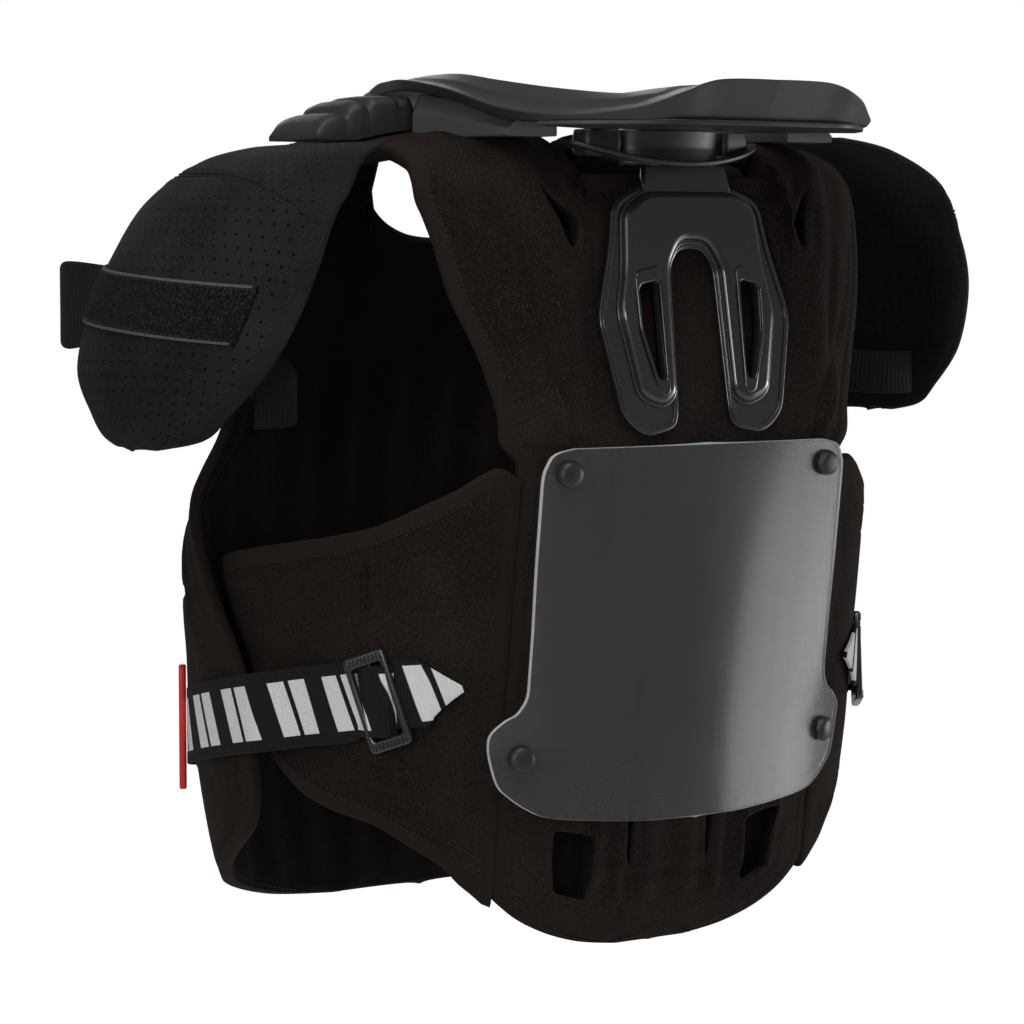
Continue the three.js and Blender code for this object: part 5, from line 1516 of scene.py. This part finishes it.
@dataclass
class BackStrut:
    """The two-legged strut that leans against the spine: a flange, a raised face and rims round its leg slots."""

    half: float = 63
    length: float = 130
    flange: float = 3
    face: float = 5
    slot_reach: float = 18
    top_z: ClassVar[float] = -10
    top_y: ClassVar[float] = -109
    lean: ClassVar[float] = math.atan2(19, 130)
    OUTLINE: ClassVar[tuple] = (
        (0.5, 0.0), (0.76, 0.06), (0.84, 0.26), (1.0, 0.52), (0.83, 0.92), (0.62, 1.0), (0.3, 0.97), (0.26, 0.9),
        (0.22, 0.32), (0.12, 0.25),
    )
    FACE: ClassVar[tuple] = (
        (0.46, 0.02), (0.68, 0.09), (0.72, 0.32), (0.8, 0.5), (0.66, 0.84), (0.44, 0.88), (0.3, 0.84), (0.27, 0.32),
        (0.14, 0.22),
    )
    SLOT: ClassVar[tuple] = ((0.42, 0.38), (0.63, 0.4), (0.62, 0.58), (0.5, 0.78), (0.42, 0.78))

    @classmethod
    def back_y(cls, z: np.ndarray) -> np.ndarray:
        """Depth of the strut's flat back at a height."""
        return cls.top_y + cls.flange + (z - cls.top_z) * math.tan(cls.lean)

    def grown(self, slot: np.ndarray, by: float) -> np.ndarray:
        """A leg slot's outline, grown about its middle by about a distance."""
        middle = slot.mean(axis=0)
        return (slot - middle) * (1 + by / self.slot_reach) + middle

    def whole(self, rows: Sequence[tuple[float, float]]) -> np.ndarray:
        """Both halves of an outline listed for the right half from the middle of the top down."""
        right = np.array(rows) * [self.half, -self.length]
        return np.concatenate([(right * [-1, 1])[::-1], right])

    def lift(self, parts: tuple[np.ndarray, list], start: float) -> tuple[np.ndarray, list]:
        """Stands a flat sheet up on the strut's plane and leans it.

        Args:
            parts: the sheet's points and faces, drawn flat.
            start: how far behind the strut's back it begins.

        Returns:
            The turned points, and the faces.
        """
        points, faces = parts
        x, z, y = points[:, 0], points[:, 1], -(points[:, 2] + start)
        c, s = math.cos(-self.lean), math.sin(-self.lean)
        return np.stack([x, y * c - z * s + self.top_y + self.flange, y * s + z * c + self.top_z], axis=-1), faces

    def build(self) -> None:
        """Makes the strut."""
        slots = [rounded(np.array(self.SLOT) * [self.half * side.value, -self.length], 3.5, 4) for side in Side]
        neck = np.array([[-0.47, 0.06], [-0.42, -0.085], [0.42, -0.085], [0.47, 0.06]]) * [self.half, -self.length]
        flange = rounded(self.whole(self.OUTLINE), 7, 5)
        face = rounded(self.whole(self.FACE), 6, 5)
        parts = [
            self.lift(cut_sheet([flange, *slots], self.flange, 1.0), 0),
            self.lift(cut_sheet([shifted(flange, 1.0), shifted(flange, 3.6)], 1.5, 0.6), self.flange - 0.5),
            self.lift(cut_sheet([shifted(face, -1.6), *slots], self.flange + 1.4, 0.9), 0),
            self.lift(cut_sheet([face, *slots], self.flange + self.face, 3.8), 0),
            self.lift(cut_sheet([neck[::-1]], self.flange + 1.6, 1.2), 0),
        ]
        for slot in slots:
            parts.append(self.lift(cut_sheet([self.grown(slot, 5.5), slot], 2.4, 1.1), self.flange + self.face - 1.4))
        piece = make_piece("spine_strut", *join_parts(parts), [GLOSSY], crease=35, even=True)
        settle(piece, ["back_strut"])


@dataclass
class NumberPlate:
    """The clear plate on the back and the domed studs that hold it."""

    half: float = 116
    top_z: float = -143
    length: float = 196
    thickness: float = 2.4
    stud: float = 14
    dome: float = 4.5
    OUTLINE: ClassVar[Table] = Table(
        "down half", (0.0, 0.7), (0.012, 0.79), (0.04, 0.83), (0.1, 0.85), (0.3, 0.85), (0.5, 0.845), (0.63, 0.845),
        (0.69, 0.88), (0.715, 0.94), (0.745, 0.99), (0.775, 1.0), (0.83, 0.985), (0.885, 0.955), (0.915, 0.91),
        (0.95, 0.83), (0.975, 0.73), (0.99, 0.5), (1.0, 0.25),
    )
    STUDS: ClassVar[tuple] = ((0.73, 0.065), (0.865, 0.815))
    PROFILE: ClassVar[np.ndarray] = np.array([
        [0.01, -0.9], [0.2, -0.88], [0.36, -0.8], [0.44, -0.62], [0.48, -0.3], [0.5, 0.0], [0.47, 0.06], [0.22, 0.06],
    ])

    def depth(self, x: np.ndarray, z: np.ndarray) -> np.ndarray:
        """Depth of the plate's outer face, bowed a little at its top and more at its foot.

        Args:
            x: sideways places.
            z: heights.

        Returns:
            The depth at each place.
        """
        down = (self.top_z - z) / self.length
        middle = TORSO.back_y(0.0, self.top_z) - 6.5 + 8 * down
        return middle + (8 + 18 * np.clip(down / 0.8, 0, 1)) * (x / self.half) ** 2

    def build(self) -> None:
        """Makes the plate, then its studs from the upper left to the lower right."""
        place = self.OUTLINE.last * np.linspace(0, 1, 110)[:, None]
        z = self.top_z - self.length * self.OUTLINE.at("down", place)
        x = self.half * self.OUTLINE.at("half", place) * np.linspace(-1, 1, 90)
        grid = np.stack([x, self.depth(x, z), z + 0 * x], axis=-1)
        normal = grid_normals(grid, (0, -1, 0))
        wall = Wall(grid, grid - normal * self.thickness, bulge=self.thickness * 0.45, steps=8)
        # The sheet's rim takes a painted highlight.
        settle(wall.piece("clear_plate", CLEAR, rim=PAINTED_HIGHLIGHT_EDGE), ["number_plate"])
        places = [(side.value * across, down) for across, down in self.STUDS for side in Side]
        for number, (across, down) in enumerate(places, start=1):
            self.build_stud(number, across * self.half, self.top_z - self.length * down)

    def build_stud(self, number: int, x: float, z: float) -> None:
        """Turns a domed stud, leans it with the plate and stands it on the pad.

        Args:
            number: the stud's number.
            x: its sideways place.
            z: its height.
        """
        shank = self.depth(x, z) - 4 * GAP
        foot = max(TORSO.back_y(x, z) - 1.0 - shank, self.thickness + 1)
        shape = np.vstack([self.PROFILE * [self.stud, self.dome], [[0.22 * self.stud, foot], [0.01, foot]]])
        radius, rise = shape[:, :1], shape[:, 1:]
        angle = np.linspace(0, 2 * np.pi, 40, endpoint=False)
        tilt = math.atan2(self.depth(x + 1, z) - self.depth(x - 1, z), 2)
        c, s = math.cos(tilt), math.sin(tilt)
        across = radius * np.cos(angle)
        turned = np.stack(
            [across * c - rise * s + x, across * s + rise * c + shank, radius * np.sin(angle) + z], axis=-1
        )
        settle(make_piece(f"stud_{number}", *loft(turned), [STUD]), [f"plate_stud_{number}"])


def band(
    path: np.ndarray, widths: np.ndarray, out: np.ndarray, thickness: float
) -> tuple[np.ndarray, list, np.ndarray]:
    """A flat strap along a path, with rounded edges.

    Args:
        path: points along the middle of the strap's inner face.
        widths: the strap's breadth at each point.
        out: directions away from what it lies on.
        thickness: the strap's thickness.

    Returns:
        Points, faces, and for each point its run and its breadth from the middle.
    """
    ahead = unit(np.gradient(path, axis=0))
    out = unit(out - ahead * (out * ahead).sum(axis=-1, keepdims=True))
    across = np.cross(ahead, out)
    corners = np.array([[-0.5, 0.0], [0.5, 0.0], [0.5, 1.0], [-0.5, 1.0]]) * [widths.mean(), thickness]
    shape = rounded(corners, thickness * 0.45, 3)
    rim = np.concatenate([np.linspace(a, b, 4, endpoint=False) for a, b in zip(shape, np.roll(shape, -1, axis=0))])
    breadth = rim[:, 0] * (widths / widths.mean())[:, None]
    points = path[:, None] + across[:, None] * breadth[..., None] + out[:, None] * rim[:, 1][:, None]
    place = np.stack([run_along(path)[:, None] + 0 * breadth, breadth, 0 * breadth], axis=-1)
    flat, faces = loft(points)
    return flat, faces, place.reshape(-1, 3)


@dataclass
class WaistStraps:
    """The webbing round the waist with its hook, its buckle and its pointed tab."""

    width: float = 42
    thickness: float = 2.2
    buckle_length: float = 24
    buckle_height: float = 51
    buckle_thickness: float = 4
    buckle_tilt: float = 0.34
    teeth: int = 9
    first_tooth: float = -9
    tooth_pitch: float = 2.25
    hook_length: float = 70
    hook_width: float = 9
    hook_thickness: float = 4.0
    through_reach: float = 0.155
    through_rise: float = 0.004
    hump: float = 3.4
    narrowing: float = 5
    PATH: ClassVar[Table] = Table(
        "forward down layer", (0.88, 0.76, 1), (0.7, 0.745, 1), (0.45, 0.725, 1), (0.22, 0.708, 1), (0.04, 0.696, 1),
        (-0.1, 0.688, 0.5), (-0.24, 0.68, 0.1), (-0.38, 0.673, 0), (-0.53, 0.665, 0),
    )
    TAB: ClassVar[Table] = Table(
        "forward down breadth", (-0.69, 0.652, 0.85), (-0.76, 0.65, 0.85), (-0.79, 0.648, 0.62), (-0.83, 0.646, 0.3),
        (-0.86, 0.645, 0.06),
    )

    def point(self, share: np.ndarray, off: float) -> tuple[np.ndarray, np.ndarray]:
        """Where the webbing runs.

        Args:
            share: places along it, from the chest at 0 to the buckle at 1.
            off: how far off its inner face.

        Returns:
            The points and the outward normals.
        """
        place = self.PATH.last * np.asarray(share, float)
        forward, down, layer = (self.PATH.at(name, place) for name in self.PATH.columns)
        return TORSO.flank(forward, -TORSO.length * down, layer, 6 * GAP + off)

    def stand(
        self, parts: tuple[np.ndarray, list], foot: np.ndarray, ahead: np.ndarray, tilt: float
    ) -> tuple[np.ndarray, list]:
        """Stands a flat sheet upright on the flank.

        Args:
            parts: the sheet's points and faces.
            foot: where its middle goes.
            ahead: a point that its first axis turns toward.
            tilt: its turn in its own plane, in radians.

        Returns:
            The turned points, and the faces.
        """
        points, faces = parts
        along = unit(np.array([ahead[0] - foot[0], ahead[1] - foot[1], 0.0]))
        out = np.array([-along[1], along[0], 0.0])
        out = out if out[0] > 0 else -out
        c, s = math.cos(tilt), math.sin(tilt)
        u, v = points[:, 0] * c - points[:, 1] * s, points[:, 0] * s + points[:, 1] * c
        return foot + np.outer(u, along) + np.outer(v, [0, 0, 1]) + np.outer(points[:, 2], out), faces

    def buckle(self) -> tuple[np.ndarray, list]:
        """The ladder buckle laid flat: a frame, a middle bar and a row of teeth on its upper and lower sides.

        Returns:
            Points and faces.
        """
        rim = rounded(rectangle(self.buckle_length, self.buckle_height), 3.5, 5)
        window = rounded(rectangle(self.buckle_length * 0.71, self.buckle_height - 12), 1.5, 3)
        frame = cut_sheet([rim, window], self.buckle_thickness, 1.1)
        middle = cut_sheet([rounded(rectangle(3.2, self.buckle_height - 11), 0.8)], 1.2, 0.4)
        tooth, teeth = rounded(rectangle(1.3, 4.4), 0.5), []
        for number in range(self.teeth):
            for end in (-1, 1):
                place = [self.first_tooth + self.tooth_pitch * number, end * (self.buckle_height / 2 - 3.2)]
                points, faces = cut_sheet([tooth + place], 1.0, 0.3)
                teeth.append((points + [0, 0, self.buckle_thickness - 0.4], faces))
        return join_parts([frame, middle, *teeth])

    def build(self) -> None:
        """Makes all of both straps."""
        path, out = self.point(np.linspace(0, 1, 160), 0)
        reach = np.linspace(0, 1, 40)[1:]
        seat_forward, seat_down = self.PATH.columns["forward"][-1], self.PATH.columns["down"][-1]
        seat_z = -TORSO.length * (seat_down - self.through_rise * reach)
        through, lift = TORSO.flank(seat_forward - self.through_reach * reach, seat_z, 0.0, 6 * GAP)
        hump = self.hump * smoothstep(reach, 0.1, 0.4) * (1 - smoothstep(reach, 0.8, 1.0))
        through = through + lift * hump[:, None]
        widths = self.width - self.narrowing * smoothstep(np.linspace(0, 1.25, 199), 0.94, 1.03)
        strap = band(np.concatenate([path, through]), widths, np.concatenate([out, lift]), self.thickness)
        share = np.linspace(0, self.TAB.last, 60)
        forward, down, breadth = (self.TAB.at(name, share) for name in self.TAB.columns)
        tab_path, tab_out = TORSO.flank(forward, -TORSO.length * down, 0.0, 7 * GAP)
        tab = band(tab_path, self.width * breadth, tab_out, self.thickness)
        seat_z = -TORSO.length * (seat_down - 0.003)
        centre, ahead = (TORSO.flank(seat_forward - d, seat_z, 0.0, 10 * GAP)[0] for d in (0.1, 0.16))
        buckle = self.stand(self.buckle(), centre, ahead, self.buckle_tilt)
        foot, nearby = (self.point(s, self.thickness + 3 * GAP)[0] for s in (0.13, 0.18))
        bar = cut_sheet([rounded(rectangle(self.hook_width, self.hook_length), 3.5, 5)], self.hook_thickness, 1.2)
        hook = self.stand(bar, foot, nearby, 0.0)
        for side in Side:
            for word, parts, finish, slot, node in (
                ("waist_webbing", strap, STRAP, "webbing", "waist_strap"),
                ("pointed_tab", tab, STRAP, "webbing", "strap_tab"),
                ("ladder_buckle", buckle, GLOSSY, "glossy_plastic", "strap_buckle"),
                ("hook_bar", hook, RED, "red_plastic", "strap_hook"),
            ):
                place = parts[2] if len(parts) == 3 else None
                piece = make_piece(side.name_of(word), side.turn(parts[0]), parts[1], [finish], place=place)
                settle(piece, [side.name_of(node)])


@dataclass
class ShoulderCaps:
    """The pierced caps with their loop patches, arm straps and the humped links that tie them to the collar."""

    wall: float = 5
    reach: float = 264
    half_length: float = 105
    height: float = 160
    centre_y: float = 20
    top: float = 14
    right_lift: float = 8
    patch: tuple[float, float, float, float] = (3.12, 0.95, 0.4, 0.1)
    patch_thickness: float = 1.4
    seam_top: float = 1.45
    seam_fall: float = 1.1
    seam_bend: float = 4.2
    seam_gap: float = 1.5
    seam_depth: float = 1.2
    seam_lip: float = 0.5
    edge_thinning: float = 1.4
    rows: int = 120
    arm_width: float = 40
    arm_thickness: float = 2
    link_y: float = 14
    link_width: float = 48
    link_height: float = 20
    link_start: float = 104
    link_overlap: float = 6
    link_ramp: float = 24
    CAP: ClassVar[Table] = Table(
        "down reach curl rear front", (0.0, 0.6, 0.03, -0.66, 0.4), (0.05, 0.73, 0.06, -0.87, 0.62),
        (0.19, 0.86, 0.1, -1.04, 0.81), (0.38, 0.94, 0.13, -1.04, 0.92), (0.56, 0.985, 0.14, -0.99, 0.98),
        (0.75, 1.0, 0.12, -0.82, 0.96), (0.89, 0.985, 0.08, -0.57, 0.73), (0.965, 0.967, 0.05, -0.4, 0.56),
        (1.0, 0.957, 0.03, -0.06, 0.28),
    )
    ARM: ClassVar[Table] = Table(
        "x y down breadth", (0.8045, 0.93, 0.53, 1.0), (0.86, 1.24, 0.54, 1.2), (0.8, 1.46, 0.555, 0.7),
        (0.71, 1.1, 0.6, 1.05), (0.665, 0.55, 0.68, 0.85), (0.66, 0.1, 0.76, 0.75), (0.68, -0.3, 0.82, 0.65),
        (0.76, -0.52, 0.84, 0.6), (0.83, -0.55, 0.84, 0.6),
    )
    LINK: ClassVar[Table] = Table(
        "along high", (0.0, 0.6), (0.05, 0.8), (0.15, 0.68), (0.21, 0.8), (0.4, 0.76), (0.47, 0.55), (0.54, 0.66),
        (0.64, 0.52), (0.7, 0.26), (0.78, 0.3), (0.92, 0.1), (1.0, -0.24),
    )

    def point(self, place: np.ndarray, along: np.ndarray) -> np.ndarray:
        """Outer surface of the right cap.

        Args:
            place: places in the cap's table.
            along: shares from rear to front.

        Returns:
            The surface's points.
        """
        value = {name: self.CAP.at(name, place) for name in self.CAP.columns}
        u = 2 * along - 1
        x = self.reach * (value["reach"] - value["curl"] * np.abs(u) ** 2.4)
        middle, reach = (value["rear"] + value["front"]) / 2, (value["front"] - value["rear"]) / 2
        y = self.centre_y + self.half_length * (middle + reach * u)
        return np.stack([x, y, self.top - self.height * value["down"] + 0 * u], axis=-1)

    def lifted(self, side: Side, points: np.ndarray) -> np.ndarray:
        """Points made for the right side, on a side and at that side's height."""
        return side.turn(points) + [0, 0, self.right_lift if side is Side.RIGHT else 0]

    def build_caps(self, stitching: Stitching) -> None:
        """Makes the pierced caps with their seam, and the patches on them.

        Args:
            stitching: takes up its seams.
        """
        share = np.linspace(0, 1, self.rows)
        grid = self.point(self.CAP.last * share[:, None], share[None])
        normal = grid_normals(grid, (1, 0, 0.2))
        inset = edge_inset(grid)
        seam = np.linspace(0.02, 0.985, 120)
        seam_place, seam_along = self.seam_top + self.seam_fall * seam**self.seam_bend, 1 - seam
        line = self.point(seam_place, seam_along)
        near = np.minimum.reduce([np.linalg.norm(grid - point, axis=2) for point in line[::2]])
        relief = self.seam_lip * ridge(near - 5, 3) - self.seam_depth * ridge(near, 1.8)
        thin = self.edge_thinning * (1 - smoothstep(inset, 0, 9))
        outer = grid + normal * (relief - thin)[..., None]
        inner = grid - normal * (self.wall - 0.3 * thin)[..., None]
        step = self.point(seam_place + 0.01, seam_along) - line
        seam_normal = unit(np.cross(np.gradient(line, axis=0), step))
        seam_normal *= np.sign(seam_normal[len(seam) // 2] @ [1, 0, 0.2])
        aside = unit(np.cross(seam_normal, np.gradient(line, axis=0)))
        start, span, slope, first = self.patch
        along = np.linspace(first, 0.99, 90)
        down = start + span * np.linspace(0, 1, 40)[:, None] + slope * (1 - along)
        area = self.point(down, along[None] + np.zeros((40, 1)))
        area_normal = grid_normals(area, (1, 0, 0.2))
        low = area + area_normal * GAP
        high = low + area_normal * self.patch_thickness
        for side in Side:
            cap = Wall(self.lifted(side, outer), self.lifted(side, inner), bulge=1.6)
            settle(
                cap.piece(side.name_of("arm_cap"), CAP_CLOTH), [side.name_of("shoulder_cap")]
            )
            patch = Wall(self.lifted(side, high), self.lifted(side, low), bulge=0.6)
            settle(patch.piece(side.name_of("fuzzy_patch"), PATCH), [side.name_of("cap_patch")])
            for offset in (-self.seam_gap, self.seam_gap):
                stitching.sew(self.lifted(side, line + aside * offset), side.turn(seam_normal))
            for edge in (2, 3):
                stitching.sew_side(self.lifted(side, high), side.turn(area_normal), edge, slice(None), 2.0)

    def build_arm_straps(self) -> None:
        """The elastic straps round the upper arm."""
        place = np.linspace(0, self.ARM.last, 140)
        value = {name: self.ARM.at(name, place) for name in self.ARM.columns}
        y, z = self.centre_y + self.half_length * value["y"], self.top - self.height * value["down"]
        path = np.stack([self.reach * value["x"], y, z], axis=-1)
        smooth = np.hanning(27) / np.hanning(27).sum()
        padded = np.pad(path, ((13, 13), (0, 0)), mode="reflect", reflect_type="odd")
        path = np.stack([np.convolve(column, smooth, mode="valid") for column in padded.T], axis=-1)
        out = np.cross(unit(np.gradient(path, axis=0)), [0, 0, 1])
        points, faces, where = band(path, self.arm_width * value["breadth"], out, self.arm_thickness)
        for side in Side:
            piece = make_piece(side.name_of("arm_elastic"), self.lifted(side, points), faces, [ELASTIC], place=where)
            settle(piece, [side.name_of("arm_strap")])

    def build_links(self) -> None:
        """The humped links, whose outer ends lie on the caps' tops."""
        share = np.linspace(0, 1, 90)
        cap_edge = self.reach * self.CAP.columns["reach"][0]
        bridge_edge = TORSO.half * TORSO.BACK.columns["half"][0]
        x = self.link_start + (cap_edge + self.link_overlap - self.link_start) * share
        high = self.LINK.at("high", self.LINK.place("along", share))
        cloth = TORSO.shoulder_top - TORSO.drop(np.minimum(x, cap_edge), -TORSO.RISE)
        y = np.array([-0.5, -0.5, -0.46, -0.3, 0.0, 0.3, 0.46, 0.5, 0.5]) * self.link_width + self.link_y
        crown = np.array([0.0, 0.72, 0.92, 0.98, 1.0, 0.98, 0.92, 0.72, 0.0])
        for side in Side:
            raised = (self.right_lift if side is Side.RIGHT else 0) * smoothstep(
                x, bridge_edge - self.link_ramp, bridge_edge
            )
            low = np.maximum(cloth, np.where(x > bridge_edge + GAP, self.top + raised, -99)) + 3 * GAP
            upper = np.maximum(TORSO.shoulder_top + self.link_height * high + raised, low + 2)
            z = low[:, None] + (upper - low)[:, None] * crown
            sections = np.stack([x[:, None] + 0 * z, y + 0 * z, z], axis=-1)
            piece = make_piece(side.name_of("humped_link"), *loft(side.turn(sections)), [LINK_RUBBER], crease=75)
            settle(piece, [side.name_of("shoulder_link")])

    def build(self, stitching: Stitching) -> None:
        """Makes all of both shoulders.

        Args:
            stitching: takes up its seams.
        """
        self.build_caps(stitching)
        self.build_arm_straps()
        self.build_links()


@dataclass(frozen=True)
class PaleFloor(Finish):
    """The studio's pale floor, which the camera sees as white."""

    def paint(self, recipe: Recipe) -> None:
        """Pale paint, faintly uneven, that glows toward the camera alone.

        Args:
            recipe: the material that the nodes go into.
        """
        shade = recipe.mix(recipe.noise(0.6, 2.0), (0.9, 0.9, 0.9, 1), (0.94, 0.94, 0.94, 1))
        seen = recipe.add("LightPath").outputs["Is Camera Ray"]
        glow = recipe.mix(seen, (0, 0, 0, 1), (0.8, 0.8, 0.8, 1))
        recipe.set(
            recipe.shader, {"Base Color": shade, "Roughness": 0.9, "Emission Color": glow, "Emission Strength": 1.0}
        )


@dataclass
class Studio:
    """A plain pale floor, soft lights and the camera at the photograph's angle."""

    eye: tuple[float, float, float] = (-1094.3, -1519.7, -41.6)
    ahead: tuple[float, float, float] = (0.5704, 0.8177, -0.0771)
    lens: float = 119.7
    floor_z: float = -1200
    middle: tuple[float, float, float] = (0, 0, -190)
    LAMPS: ClassVar[tuple] = (
        ("top", (-500, -700, 1400), 1500, 19), ("left", (-2100, -500, 300), 1100, 7),
        ("strip", (-1850, -1250, 60), 420, 7), ("front", (900, 2200, 500), 1200, 9),
        ("right", (1930, -1080, -470), 1150, 8), ("bright", (2060, -620, -280), 460, 6.5),
    )

    def lamp(self, name: str, place: Sequence[float], size: float, power: float) -> None:
        """A square soft light aimed at the vest.

        Args:
            name: the light's name.
            place: where it stands, in millimetres.
            size: its side in millimetres.
            power: its power in watts.
        """
        light = bpy.data.lights.new(name, "AREA")
        light.size, light.energy = size * MM, power
        holder = bpy.data.objects.new(name, light)
        holder.location = Vector(place) * MM
        holder.rotation_euler = (Vector(self.middle) - Vector(place)).to_track_quat("-Z", "Y").to_euler()
        bpy.context.scene.collection.objects.link(holder)

    def build_world(self) -> None:
        """A white surround for the camera that lights the vest only softly."""
        world = bpy.data.worlds.new("studio")
        world.use_nodes = True
        nodes, links = world.node_tree.nodes, world.node_tree.links
        seen, strength = nodes.new("ShaderNodeLightPath"), nodes.new("ShaderNodeMapRange")
        strength.inputs["To Min"].default_value = 0.22
        links.new(seen.outputs["Is Camera Ray"], strength.inputs["Value"])
        links.new(strength.outputs[0], nodes["Background"].inputs["Strength"])
        nodes["Background"].inputs["Color"].default_value = (1, 1, 1, 1)
        bpy.context.scene.world = world

    def build(self) -> None:
        """Sets up the floor, lights and camera."""
        camera = bpy.data.objects.new("camera", bpy.data.cameras.new("camera"))
        camera.data.lens, camera.data.clip_end = self.lens, 100
        camera.location = Vector(self.eye) * MM
        camera.rotation_euler = Vector(self.ahead).to_track_quat("-Z", "Y").to_euler()
        bpy.context.scene.collection.objects.link(camera)
        bpy.context.scene.camera = camera
        square = np.array([[-1, -1, 0], [1, -1, 0], [1, 1, 0], [-1, 1, 0]]) * 40000.0 + [0, 0, self.floor_z]
        make_piece("floor", square, [[0, 1, 2, 3]], [PaleFloor("pale_floor")])
        self.build_world()
        bpy.context.scene.view_settings.view_transform = "Standard"
        for lamp in self.LAMPS:
            self.lamp(*lamp)


def main() -> None:
    """Builds the vest over its frame."""
    logging.basicConfig(level=logging.INFO, format="%(message)s")
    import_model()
    Studio().build()
    stitching = Stitching()
    BackPanel().build(stitching)
    FrontPanel().build(stitching)
    SideWings().build(stitching)
    ShoulderBridges().build()
    Collar().build()
    BackStrut().build()
    NumberPlate().build()
    WaistStraps().build()
    ShoulderCaps().build(stitching)
    stitching.build()


if __name__ == "__main__":
    main()
